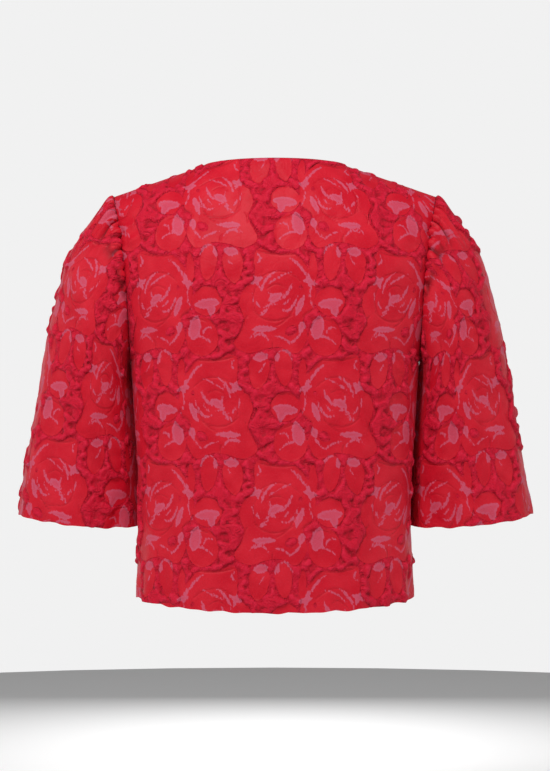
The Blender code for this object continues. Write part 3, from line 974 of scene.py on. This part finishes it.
@dataclass(frozen=True)
class Lie:
    """How the cloth lies at each point of a piece.

    Attributes:
        free: 0 to 1, how much relief the point may take.
        seam: how far it is from the nearest seam, in metres.
        extra: height that is added to the relief, in metres.
        valley: 0 to 1, how deep in a valley between gathers it is.
    """

    free: Array
    seam: Array
    extra: Array
    valley: Array


@dataclass
class Cloth:
    """The puckered cloth: its wall, its relief and how a cut piece is made of it.

    Attributes:
        chart: the woven repeat.
        puckers: the settled outer layer.
        wall: thickness of the plain wall under the relief.
        coarse: the plain inside takes one point in this many.
        seam_fade: the relief is full this far from a seam.
        seam_roll: and the outside dips this near to one.
        roll_depth: how far it dips.
        hem_fade: the relief is full this far above a hem.
        hem_share: the share of it right at the hem.
        wave_fade: a hem's waves end this far above it.
        wave_out: how far they swing.
        wave_up: and how far they rise.
        sharp_angle: faces that meet more sharply keep a hard edge.
        reach: millimetres from a shape's edge that the attributes tell.
    """

    chart: Chart
    puckers: Puckers
    wall: float = 0.0018
    coarse: int = 6
    seam_fade: float = 0.006
    seam_roll: float = 0.0008
    roll_depth: float = 0.0002
    hem_fade: float = 0.010
    hem_share: float = 0.7
    wave_fade: float = 0.045
    wave_out: float = 0.0016
    wave_up: float = 0.0010
    sharp_angle: float = math.radians(80)
    reach: float = 8.0

    # A hem's waves outwards and upwards: each one's size, radians for each metre and lag
    WAVES = (
        ((1.0, 118.0, 0.0), (0.7, 187.0, 1.0)),
        ((1.0, 143.0, 0.6), (0.8, 231.0, 0.0)),
    )

    def piece(self, name: str, grid: Grid, rose: tuple[float, float], lie: Lie) -> bpy.types.Object:
        """Makes a cut piece.

        Args:
            name: its name.
            grid: its plain form.
            rose: where a rose's heart lies, to the right of the middle line and above the hem.
            lie: how its cloth lies.

        Returns:
            The piece, with its flat places as UVs and the chart as attributes.
        """
        right, up = grid.right - rose[0], grid.up - rose[1]
        free = lie.free * smooth(lie.seam / self.seam_fade)
        free = free * blend(self.hem_share, 1.0, smooth(grid.above_hem / self.hem_fade))
        shift = [self.chart.at(layer, right, up) * MM for layer in self.puckers.moved]
        slide = grid.across_way * shift[0][..., None] + grid.up_way * shift[1][..., None]
        base = grid.base + slide * free[..., None]
        wave = smooth(1 - grid.above_hem / self.wave_fade) * smooth(lie.seam / (4 * self.seam_fade)) * free
        swings = [sum(size * np.sin(right * rate + lag) for size, rate, lag in waves) for waves in self.WAVES]
        base = base + grid.normal * (wave * swings[0] * self.wave_out)[..., None]
        base = base + grid.up_way * (wave * swings[1] * self.wave_up)[..., None]
        roll = self.roll_depth * np.clip(1 - lie.seam / self.seam_roll, 0.0, 1.0) ** 2
        lift = shift[2] * free + lie.extra - roll
        outside = base + grid.normal * lift[..., None]
        inside = (base - grid.normal * self.wall)[:: self.coarse]
        inside = inside[:, :: self.coarse]
        made = self.shell(name, outside, inside, grid)
        hollow = self.chart.at(self.puckers.hollow, right, up)
        self.mark(made, inside.shape, right, up, {"hollow": hollow, "valley": lie.valley})
        return made

    def shell(self, name: str, outside: Array, inside: Array, grid: Grid) -> bpy.types.Object:
        """Joins the fine outside, the plain inside and the rims between them.

        Args:
            name: the piece's name.
            outside: its fine outer points.
            inside: its coarse inner points.
            grid: its plain form.

        Returns:
            The closed shell.
        """
        rows, columns = outside.shape[:2]
        numbers = np.arange(rows * columns).reshape(rows, columns)
        under = rows * columns + np.arange(inside.shape[0] * inside.shape[1]).reshape(inside.shape[:2])
        if grid.closed:
            numbers = np.concatenate([numbers, numbers[:, :1]], axis=1)
            under = np.concatenate([under, under[:, :1]], axis=1)

        def quads(n: Array) -> Array:
            """The faces of a grid of point numbers."""
            return np.stack([n[:-1, :-1], n[:-1, 1:], n[1:, 1:], n[1:, :-1]], axis=-1).reshape(-1, 4)

        def rim(fine: Array, coarse: Array, forward: bool) -> Array:
            """The faces between a fine outer edge and the inner one."""
            step = self.coarse
            blocks = np.stack([fine[k : k + len(fine) - step : step] for k in range(step + 1)], axis=1)
            corners = [blocks[:, :1], coarse[:-1, None], coarse[1:, None], blocks[:, :0:-1]]
            faces = np.concatenate(corners, axis=1)
            return faces if forward else faces[:, ::-1]

        rims = [rim(numbers[0], under[0], True), rim(numbers[-1], under[-1], False)]
        if not grid.closed:
            rims += [rim(numbers[:, 0], under[:, 0], False), rim(numbers[:, -1], under[:, -1], True)]
        polygons = [quads(numbers), quads(under)[:, ::-1], np.concatenate(rims)]
        if grid.side < 0:
            polygons = [polygon[:, ::-1] for polygon in polygons]
        points = np.concatenate([outside.reshape(-1, 3), inside.reshape(-1, 3)])
        made = mesh_object(name, points, polygons)
        made.data.shade_smooth()
        made.data.set_sharp_from_angle(angle=self.sharp_angle)
        return made

    def mark(
        self,
        made: bpy.types.Object,
        inner: tuple[int, int],
        right: Array,
        up: Array,
        values: dict[str, Array],
    ) -> None:
        """Gives a piece its UV map and the attributes that its finish reads.

        Args:
            made: the piece.
            inner: rows and columns of its inside.
            right: places on the flat cloth, to the right of a rose's heart.
            up: and above it.
            values: more attributes of the outside, by name.
        """
        mesh = made.data
        count = inner[0] * inner[1]

        def over(values: Array, inside: float) -> Array:
            """A value for each point, the outside first."""
            return np.concatenate([values.ravel(), np.full(count, inside)]).astype(np.float32)

        marks = {
            ink.value: over(np.clip(self.chart.read(ink, right, up), -self.reach, self.reach), -self.reach)
            for ink in (Ink.ISLAND, Ink.ACCENT, Ink.TUCK)
        }
        marks["inside"] = over(np.zeros(right.shape), 1.0)
        marks |= {name: over(value, 0.0) for name, value in values.items()}
        for name, values in marks.items():
            mesh.attributes.new(name, "FLOAT", "POINT").data.foreach_set("value", values)
        coarse = self.coarse
        flat_right = np.concatenate([right.ravel(), right[::coarse, ::coarse].ravel()])
        flat_up = np.concatenate([up.ravel(), up[::coarse, ::coarse].ravel()])
        corners = np.empty(len(mesh.loops), dtype=np.int32)
        mesh.loops.foreach_get("vertex_index", corners)
        places = np.stack([flat_right[corners], flat_up[corners]], axis=1).astype(np.float32)
        mesh.uv_layers.new(name="flat").data.foreach_set("uv", places.ravel())


@dataclass
class BodyPieces:
    """Builds the back and the front.

    Attributes:
        cloth: what they are made of.
        body: their form.
        columns: faces from side to side.
        lower_rows: faces from the hem to the underarm.
        upper_rows: and on to the top.
        fold_fade: the share of a panel beside a sleeve over which its folds fade.
        relief_fade: and its relief.
        drag_half_width: half of the width of a fold that the sleeves draw.
    """

    cloth: Cloth
    body: Body = field(default_factory=Body)
    columns: int = 300
    lower_rows: int = 162
    upper_rows: int = 156
    fold_fade: float = 0.2
    relief_fade: float = 0.12
    drag_half_width: float = 0.007

    # Each drawn fold's ends, from the middle and from the neck points, and its height
    DRAGS = (
        ((0.186, -0.064), (0.120, -0.043), 0.0026),
        ((0.191, -0.086), (0.160, -0.071), 0.0024),
        ((0.182, -0.103), (0.140, -0.077), 0.0030),
        ((0.186, -0.136), (0.158, -0.108), 0.0022),
        ((0.168, -0.262), (0.128, -0.236), 0.0022),
        ((0.166, -0.300), (0.136, -0.262), 0.0020),
    )

    def drag_folds(self, base: Array) -> Array:
        """Height of the sharp folds that the sleeves draw across the shoulders and the underarms."""
        total = np.zeros(base.shape[:2])
        for start, end, height in self.DRAGS:
            away, near = away_from_line(np.abs(base[..., 0]), base[..., 2], start, end)
            crest = np.clip(1 - away / self.drag_half_width, 0.0, None) ** 1.2
            total = np.maximum(total, height * crest * smooth(3 * near) * smooth(3 * (1 - near)))
        return total

    def build(self, panel: Panel) -> bpy.types.Object:
        """Makes one panel's shell."""
        across = np.linspace(-1.0, 1.0, self.columns + 1)[None, :]
        rise = np.concatenate([
            np.linspace(0.0, 1.0, self.lower_rows + 1), np.linspace(1.0, 2.0, self.upper_rows + 1)[1:]
        ])[:, None]
        across, rise = np.broadcast_arrays(across, rise)
        side = -float(panel.facing)
        plain = Grid(self.body.form(panel, across, rise), False, self.columns // 2, side)
        fold = hanging_folds(panel.name, across, rise)
        fold = fold * self.body.beside_sleeve(across, plain.base[..., 2], self.fold_fade)
        base = self.body.off_seam(panel, across, rise, plain.base + plain.normal * fold[..., None])
        grid = Grid(base, False, self.columns // 2, side)
        free = self.body.beside_sleeve(across, base[..., 2], self.relief_fade)
        edges = np.minimum(np.abs(grid.right - grid.right[:, :1]), np.abs(grid.right - grid.right[:, -1:]))
        seam = np.minimum(edges, grid.up[-1:] - grid.up)
        lie = Lie(free, seam, self.drag_folds(base) * free, np.zeros(seam.shape))
        return self.cloth.piece(panel.name, grid, panel.rose, lie)


@dataclass
class SleevePieces:
    """Builds the two sleeves, the right one on the left one's mirrored form.

    Attributes:
        cloth: what they are made of.
        shape: the left one's form.
        rings: faces from the hem to the armhole.
        sides: faces all round.
        crowding: how much closer the rings are near the armhole.
        relief_fade: how gently the relief runs out beside the body.
        gather_seed: picks the gathers' sizes.
        gather_half_width: half of the usual gather's width, in degrees of the armhole.
        gather_rise: share of the way down at which the gathers are full.
        in_gathers: share of the cloth's own relief that is left among them.
        near_body: the gap that is left between a sleeve and the body.
        roses: where a rose's heart lies on each, right of the middle line and above the hem.
    """

    cloth: Cloth
    shape: SleeveForm = field(default_factory=SleeveForm)
    rings: int = 216
    sides: int = 300
    crowding: float = 1.12
    relief_fade: float = 0.25
    gather_seed: int = 5
    gather_half_width: float = 3.4
    gather_rise: float = 0.016
    in_gathers: float = 0.15
    near_body: float = 0.0005
    roses: dict[str, tuple[float, float]] = field(
        default_factory=lambda: {"sleeve_left": (0.0760, 0.049), "sleeve_right": (-0.0820, 0.152)}
    )

    GATHERS = Table(
        ("degrees", "height", "length"),
        (
            (-110.0, 0.0008, 0.04),
            (-70.0, 0.0040, 0.09),
            (-30.0, 0.0058, 0.14),
            (0.0, 0.0022, 0.12),
            (18.0, 0.0050, 0.18),
            (42.0, 0.0092, 0.19),
            (75.0, 0.0058, 0.13),
            (110.0, 0.0012, 0.05),
        ),
    )

    def gathers(self, along: Array, turn: Array) -> tuple[Array, Array]:
        """The gathers, which start in the armhole seam and run out down the sleeve.

        Args:
            along: from 0 at the armhole to 1 at the hem.
            turn: radians from the outer line towards the back.

        Returns:
            Their height in metres, and from 0 to 1 how far each place is gathered.
        """
        degrees = np.degrees(turn)
        rng = np.random.default_rng(self.gather_seed)
        total = np.zeros(np.broadcast(along, turn).shape)
        middle = self.GATHERS.rows[0][0]
        while middle < self.GATHERS.rows[-1][0]:
            half_width = self.gather_half_width * rng.uniform(0.8, 1.3)
            middle += half_width
            long_one = rng.uniform(0.6, 1.5)
            height = self.GATHERS.read(middle, "height") * rng.uniform(0.7, 1.25)
            length = self.GATHERS.read(middle, "length") * long_one
            run = along / length
            lean = rng.uniform(-6.0, 6.0) * run
            away = (degrees - middle - lean) / (half_width * (1 + 0.35 * run))
            ridge = np.clip(1 - np.abs(away) ** 1.6, 0.0, None) ** 0.7
            rise = smooth(along / self.gather_rise + 0.15) * (1 - smooth(run))
            total = np.maximum(total, height * ridge * rise)
            middle += half_width
        reach = self.GATHERS.read(degrees, "length")
        zone = smooth(self.GATHERS.read(degrees, "height") / 0.002 - 0.4) * (1 - smooth(along / reach))
        return total, zone

    def build(self, name: str, side: float) -> bpy.types.Object:
        """Makes one sleeve's shell.

        Args:
            name: its name.
            side: 1 for the left one, -1 for the right one.

        Returns:
            The sleeve.
        """
        along = (1 - np.linspace(0.0, 1.0, self.rings + 1))[:, None] ** self.crowding
        turn = math.pi * (2 * np.arange(self.sides) / self.sides - 1)[None, :]
        along, turn = np.broadcast_arrays(along, turn)
        plain = Grid(self.shape.form(along, turn), True, self.sides // 2, 1.0)
        fold = hanging_folds("sleeve", turn / math.pi, 1 - along) * self.shape.off_body(turn, self.shape.fade)
        base = plain.base + plain.normal * fold[..., None]
        base[-1, :, 0] += Body().seam_gap / 2
        base = base * np.array([side, 1.0, 1.0])
        grid = Grid(base, True, self.sides // 2, side)
        free = self.shape.off_body(turn, self.relief_fade)
        under_arm = np.abs(np.abs(turn) - math.pi) * 0.06
        seam = np.minimum(grid.up[-1:] - grid.up, under_arm)
        height, gathered = self.gathers(along, turn)
        free = free * blend(1.0, self.in_gathers, smooth(2 * gathered))
        extra = height + self.towards_body(base, along, turn)
        valley = smooth(1.6 * gathered) * (1 - smooth(height / 0.0026))
        return self.cloth.piece(name, grid, self.roses[name], Lie(free, seam, extra, valley))

    def towards_body(self, base: Array, along: Array, turn: Array) -> Array:
        """How far the strip beside the body swells, to leave only a narrow gap there.

        Args:
            base: the sleeve's plain points.
            along: from 0 at the armhole to 1 at the hem.
            turn: radians from the outer line towards the back.

        Returns:
            The swelling in metres.
        """
        gap = np.abs(base[..., 0]) - Body.WIDTHS.read(base[..., 2], "half_width") - self.near_body
        return np.clip(gap, 0.0, 0.004) * bump((np.abs(turn) - math.pi) / 0.2) * smooth(along / 0.06)


class Value:
    """A shader socket of numbers. An expression on it adds Math nodes."""

    def __init__(self, nodes: Nodes, socket: bpy.types.NodeSocket) -> None:
        """Wraps a socket of a set of nodes."""
        self.nodes = nodes
        self.socket = socket

    def math(self, operation: str, *others: Value | float, first: bool = True) -> Value:
        """Adds one Math node.

        Args:
            operation: the node's operation.
            *others: its other inputs.
            first: whether this value is the first input, or else the second.

        Returns:
            The node's result.
        """
        inputs = [self, *others] if first else [*others, self]
        node = self.nodes.add("ShaderNodeMath", {"operation": operation}, dict(enumerate(inputs)))
        return Value(self.nodes, node.outputs[0])

    def __add__(self, other: Value | float) -> Value:
        """Adds."""
        return self.math("ADD", other)

    def __sub__(self, other: Value | float) -> Value:
        """Subtracts."""
        return self.math("SUBTRACT", other)

    def __mul__(self, other: Value | float) -> Value:
        """Multiplies."""
        return self.math("MULTIPLY", other)

    def __rsub__(self, other: float) -> Value:
        """Subtracts from a number."""
        return self.math("SUBTRACT", other, first=False)

    __radd__ = __add__
    __rmul__ = __mul__

    def step(self, low: float, high: float) -> Value:
        """0 below low, 1 above high, smooth between them."""
        node = self.nodes.add(
            "ShaderNodeMapRange",
            {"interpolation_type": "SMOOTHSTEP"},
            {"Value": self, "From Min": low, "From Max": high, "To Min": 0.0, "To Max": 1.0},
        )
        return Value(self.nodes, node.outputs["Result"])


class Nodes:
    """The nodes of a material or a world, added by one method."""

    def __init__(self, owner: bpy.types.Material | bpy.types.World, last: str) -> None:
        """Starts the nodes, with the shader of this name.

        Args:
            owner: what the nodes belong to.
            last: the name of its shader.
        """
        owner.use_nodes = True
        self.owner = owner
        self.tree = owner.node_tree
        self.shader = self.tree.nodes[last]

    def add(self, kind: str, settings: dict, inputs: dict) -> bpy.types.Node:
        """Adds a node.

        Args:
            kind: its type.
            settings: its properties, set first.
            inputs: a value, Value or socket for each input's name or number.

        Returns:
            The node.
        """
        node = self.tree.nodes.new(kind)
        for name, setting in settings.items():
            setattr(node, name, setting)
        for name, value in inputs.items():
            self.feed(node.inputs[name], value)
        return node

    def feed(self, socket: bpy.types.NodeSocket, value: object) -> None:
        """Links or sets one input."""
        if isinstance(value, Value):
            value = value.socket
        if isinstance(value, bpy.types.NodeSocket):
            self.tree.links.new(value, socket)
        else:
            socket.default_value = value

    def finish(self, inputs: dict) -> bpy.types.Material | bpy.types.World:
        """Feeds the shader's inputs, by name, and gives back the material or the world."""
        for name, value in inputs.items():
            self.feed(self.shader.inputs[name], value)
        return self.owner

    def mark(self, name: str) -> Value:
        """A number that the mesh carries."""
        node = self.add("ShaderNodeAttribute", {"attribute_type": "GEOMETRY", "attribute_name": name}, {})
        return Value(self, node.outputs["Fac"])

    def noise(self, place: bpy.types.NodeSocket, scale: float, detail: float, warp: float = 0.0) -> Value:
        """Soft noise, about 0.5 at its middle."""
        inputs = {"Vector": place, "Scale": scale, "Detail": detail, "Distortion": warp}
        node = self.add("ShaderNodeTexNoise", {}, inputs)
        return Value(self, node.outputs["Fac"])

    def mix(self, share: Value, low: object, high: object) -> bpy.types.NodeSocket:
        """Mixes two colours."""
        node = self.add("ShaderNodeMix", {"data_type": "RGBA"}, {0: share, 6: low, 7: high})
        return node.outputs[2]


Colour = tuple[float, float, float, float]


@dataclass(frozen=True)
class RoseCloth:
    """The finish of the cloth: satin islands and pale hatched accents on a puckered crimson ground, with
    painted shade in its creases, hollows, tuck lines and gathers' valleys and painted highlight on its
    crests.
    """

    ground: Colour = (0.57, 0.004, 0.026, 1.0)
    # Painted highlight on the crests of the puckers
    painted_crest_highlight: Colour = (0.64, 0.009, 0.040, 1.0)
    # Painted shade: the dark colour laid into the ground's sunken creases and hollows and along the tuck
    # lines
    painted_crease_shade: Colour = (0.22, 0.001, 0.006, 1.0)
    fold_shadow: Colour = (0.13, 0.0005, 0.003, 1.0)
    island: Colour = (0.55, 0.003, 0.017, 1.0)
    island_pale: Colour = (0.62, 0.010, 0.026, 1.0)
    accent: Colour = (0.57, 0.100, 0.175, 1.0)
    wrong_side: Colour = (0.42, 0.006, 0.020, 1.0)
    sheen_tint: Colour = (0.90, 0.62, 0.92, 1.0)
    sheen: float = 0.03
    sheen_roughness: float = 0.35
    specular: float = 0.16

    # Scales of the noise: soft clouds, flecks, threads, and large and small creases of the ground
    CLOUDS = 26.0
    FLECKS = 640.0
    THREADS = 165.0
    CREASES = 85.0
    SMALL_CREASES = 240.0

    # How far the edges of the accents are frayed, in millimetres, and how strongly they are hatched:
    # at least, at most above that, and less in the middle of a patch
    FRAY = 6.0
    HATCHING = (0.62, 0.30, 0.22)

    # Waves of the woven threads, in radians for each metre to the right and up
    HATCH = (3900.0, 5200.0)
    RIB = (7800.0, 6100.0)
    TWILL = (5200.0, 8300.0)

    # Depths of the finest relief in metres. Small creases are deeper beside the islands.
    RIB_DEPTH = 0.00002
    TWILL_DEPTH = 0.000015
    HATCH_DEPTH = 0.00005
    TUCK_DEPTH = 0.0005
    CREASE_DEPTH = 0.0060
    SMALL_CREASE_DEPTHS = (0.0010, 0.0030)
    SWELL = 0.0008

    def make(self, name: str) -> bpy.types.Material:
        """Makes the material."""
        nodes = Nodes(bpy.data.materials.new(name), "Principled BSDF")
        flat = nodes.add("ShaderNodeUVMap", {"uv_map": "flat"}, {}).outputs["UV"]
        parts = nodes.add("ShaderNodeSeparateXYZ", {}, {"Vector": flat}).outputs
        right, up = Value(nodes, parts["X"]), Value(nodes, parts["Y"])
        island = nodes.mark("island").step(-0.5, 0.5)
        inside = nodes.mark("inside").step(0.4, 0.6)
        hollow, tuck, marked = (nodes.mark(mark) for mark in ("hollow", "tuck", "accent"))
        cloudy = nodes.noise(flat, self.CLOUDS, 2.0)
        flecks = nodes.noise(flat, self.FLECKS, 2.0) - 0.5
        slanted = {"X": right * 2.6 + up * 0.8, "Y": up - right * 0.3}
        slant = nodes.add("ShaderNodeCombineXYZ", {}, slanted).outputs[0]
        threads = nodes.noise(slant, self.THREADS, 4.0, 0.3)
        swell = nodes.noise(flat, self.CREASES, 2.0, 1.0) - 0.5
        crease = swell.math("ABSOLUTE")
        small_crease = (nodes.noise(flat, self.SMALL_CREASES, 2.0, 0.5) - 0.5).math("ABSOLUTE")

        hatch = (right * self.HATCH[0] + up * self.HATCH[1] + threads * 4.0).math("SINE").step(-0.8, 0.4)
        least, more, less = self.HATCHING
        accent = (marked + (threads - 0.5) * self.FRAY).step(-0.45, 0.35)
        accent = accent * (least + more * hatch - less * marked.step(1.5, 3.5))
        accent = accent * (0.92 + 0.8 * flecks) * (1 - inside)

        # Painted shade where the bumped creases of the ground sink deepest
        ground = nodes.mix(crease.step(0.04, 0.20) * 0.22, self.ground, self.painted_crease_shade)
        # Painted shade in the hollows of the puckers
        ground = nodes.mix(hollow.step(0.05, 0.9) * 0.85, ground, self.painted_crease_shade)
        # Painted highlight on the crests, where a point stands above its neighbours
        ground = nodes.mix((hollow * -1.0).step(0.1, 0.8), ground, self.painted_crest_highlight)
        islands = nodes.mix(cloudy.step(0.35, 0.68), self.island, self.island_pale)
        colour = nodes.mix(island, ground, islands)
        # Painted shade along the tuck lines
        colour = nodes.mix(tuck.step(-0.7, 0.5) * 0.35, colour, self.painted_crease_shade)
        colour = nodes.mix(accent, colour, self.accent)
        colour = nodes.mix(nodes.mark("valley") * 0.85, colour, self.fold_shadow)
        colour = nodes.mix(flecks.step(0.02, 0.22) * 0.10, colour, self.accent)
        colour = nodes.mix(inside, colour, self.wrong_side)

        rib = (right * self.RIB[0]).math("SINE") * (up * self.RIB[1]).math("SINE")
        twill = (right * self.TWILL[0] + up * self.TWILL[1]).math("SINE")
        height = rib * (1 - island) * self.RIB_DEPTH + twill * island * self.TWILL_DEPTH
        height = height + hatch * accent * self.HATCH_DEPTH
        height = height - tuck.step(-1.6, 0.6) * island * self.TUCK_DEPTH
        everywhere, beside = self.SMALL_CREASE_DEPTHS
        depth = everywhere + beside * nodes.mark("island").step(-5.0, -1.0)
        height = height + (crease * self.CREASE_DEPTH + small_crease * depth) * (island - 1)
        height = height + swell * island * self.SWELL
        bumped = nodes.add("ShaderNodeBump", {}, {"Strength": 1.0, "Distance": 1.0, "Height": height})
        return nodes.finish({
            "Base Color": colour,
            "Roughness": 0.66 - 0.16 * island + 0.10 * accent + flecks * 0.14,
            "Normal": bumped.outputs["Normal"],
            "Sheen Weight": self.sheen,
            "Sheen Roughness": self.sheen_roughness,
            "Sheen Tint": self.sheen_tint,
            "Specular IOR Level": self.specular,
            "Metallic": 0.0,
        })


@dataclass(frozen=True)
class PaleFloor:
    """The finish of the floor."""

    colour: Colour = (0.90, 0.90, 0.90, 1.0)
    roughness: float = 0.8
    unevenness: float = 0.05
    specular: float = 0.1

    def make(self, name: str) -> bpy.types.Material:
        """Makes the material, with a faint unevenness."""
        nodes = Nodes(bpy.data.materials.new(name), "Principled BSDF")
        place = nodes.add("ShaderNodeTexCoord", {}, {}).outputs["Object"]
        rough = self.roughness - self.unevenness * nodes.noise(place, 3.0, 2.0)
        inputs = {"Base Color": self.colour, "Roughness": rough, "Specular IOR Level": self.specular}
        return nodes.finish(inputs)


@dataclass
class Studio:
    """The pale floor, the soft light and the camera.

    Attributes:
        camera_distance: from the plane of the side seams.
        camera_height: which the view is level at.
        lens: focal length in millimetres.
        sensor: the longer side of the sensor in millimetres.
        floor_level: height of the floor.
        floor_reach: its radius.
        backdrop: brightness behind the blouse in the main view.
        fill: and on the other side.
        aim: the point that the lights face.
    """

    camera_distance: float = 2.6
    camera_height: float = -0.2695
    lens: float = 98.7
    sensor: float = 36.0
    floor_level: float = -0.95
    floor_reach: float = 2.5
    backdrop: float = 0.88
    fill: float = 0.55
    aim: tuple[float, float, float] = (0.0, 0.0, -0.25)

    # How the sky's strength falls with height, from and to, and where the backdrop gives way to the fill
    DIMMING = (0.2, 0.45, 1.0, 0.17)
    SIDES = (-0.2, 0.3)

    # Each soft light's place, size in metres and power in watts
    LAMPS = {
        "top_light": ((0.0, 1.5, 2.6), 0.9, 19.0),
        "key_light": ((0.45, 1.7, 1.4), 0.3, 30.0),
        "side_light": ((2.0, 0.7, 0.5), 0.9, 7.0),
        "far_side_light": ((-2.0, 0.7, 0.5), 0.9, 7.0),
        "front_light": ((0.0, -1.9, 0.0), 0.4, 20.0),
    }

    def floor(self) -> None:
        """Makes the floor, a wide round sheet."""
        count = 64
        turns = np.linspace(0.0, math.tau, count, endpoint=False)
        reaches = self.floor_reach * np.array([0.02, 0.1, 0.3, 1.0])
        flat = reaches[:, None, None] * np.stack([np.cos(turns), np.sin(turns)], axis=-1)
        rings = np.concatenate([flat, np.full((len(reaches), count, 1), self.floor_level)], axis=-1)
        numbers = np.arange(len(rings) * count).reshape(len(rings), count)
        numbers = np.concatenate([numbers, numbers[:, :1]], axis=1)
        quads = np.stack([numbers[:-1, :-1], numbers[1:, :-1], numbers[1:, 1:], numbers[:-1, 1:]], axis=-1)
        faces = [np.arange(count)[None, :], quads.reshape(-1, 4)]
        made = mesh_object("studio_floor", rings.reshape(-1, 3), faces)
        made.data.materials.append(PaleFloor().make("pale_floor"))
        made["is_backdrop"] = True

    def lamp(self, name: str, place: tuple[float, float, float], size: float, power: float) -> None:
        """Hangs a square soft light that faces the blouse.

        Args:
            name: its name.
            place: where it hangs.
            size: its side in metres.
            power: in watts.
        """
        light = bpy.data.lights.new(name, "AREA")
        light.shape = "SQUARE"
        light.size = size
        light.energy = power
        made = bpy.data.objects.new(name, light)
        bpy.context.scene.collection.objects.link(made)
        made.location = place
        made.visible_camera = False
        way = np.array(self.aim) - np.array(place)
        made.rotation_mode = "QUATERNION"
        made.rotation_quaternion = Vector(way.tolist()).to_track_quat("-Z", "Y")

    def light_world(self) -> None:
        """Makes the backdrop: pale behind the blouse near the horizon, dimmer elsewhere."""
        nodes = Nodes(bpy.data.worlds.new("studio_world"), "Background")
        way = nodes.add("ShaderNodeTexCoord", {}, {}).outputs["Generated"]
        parts = nodes.add("ShaderNodeSeparateXYZ", {}, {"Vector": way}).outputs
        strength = 1.0
        backdrop = ("Y", *self.SIDES, self.backdrop, self.fill)
        for axis, start, end, low, high in (("Z", *self.DIMMING), backdrop):
            inputs = {"Value": parts[axis], "From Min": start, "From Max": end, "To Min": low, "To Max": high}
            strength = Value(nodes, nodes.add("ShaderNodeMapRange", {}, inputs).outputs["Result"]) * strength
        white = (1.0, 1.0, 1.0, 1.0)
        bpy.context.scene.world = nodes.finish({"Color": white, "Strength": strength})

    def build(self) -> None:
        """Makes everything round the blouse."""
        self.floor()
        for name, row in self.LAMPS.items():
            self.lamp(name, *row)
        self.light_world()
        scene = bpy.context.scene
        scene.view_settings.view_transform = "Standard"
        data = bpy.data.cameras.new("camera")
        data.lens, data.sensor_width, data.sensor_fit = self.lens, self.sensor, "AUTO"
        camera = bpy.data.objects.new("camera", data)
        scene.collection.objects.link(camera)
        camera.location = (0.0, self.camera_distance, self.camera_height)
        camera.rotation_euler = (math.pi / 2, 0.0, math.pi)
        scene.camera = camera


def main() -> None:
    """Builds the cloth, its four pieces and the studio."""
    logging.basicConfig(level=logging.INFO, format="%(message)s")
    chart = Chart()
    chart.draw()
    puckers = Puckers(chart)
    puckers.settle()
    log.info("puckers: highest %.1f mm", puckers.moved[2].max())
    cloth = Cloth(chart, puckers)
    bodies = BodyPieces(cloth)
    sleeves = SleevePieces(cloth)
    pieces = {panel.name: bodies.build(panel) for panel in (BACK, FRONT)}
    pieces["sleeve_left"] = sleeves.build("sleeve_left", 1.0)
    pieces["sleeve_right"] = sleeves.build("sleeve_right", -1.0)
    for node, piece in pieces.items():
        piece.name = node + "_cloth"
        piece.data.materials.append(RoseCloth().make(node + "_rose_cloth"))
        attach(piece, "root")
        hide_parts(node)
    Studio().build()
    {"cad": plain(CAD_BOX), "visual": plain(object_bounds())}


def plain(box: tuple) -> list[list[float]]:
    """A box's corners as plain lists."""
    return [[float(value) for value in corner] for corner in box]


if __name__ == "__main__":
    main()
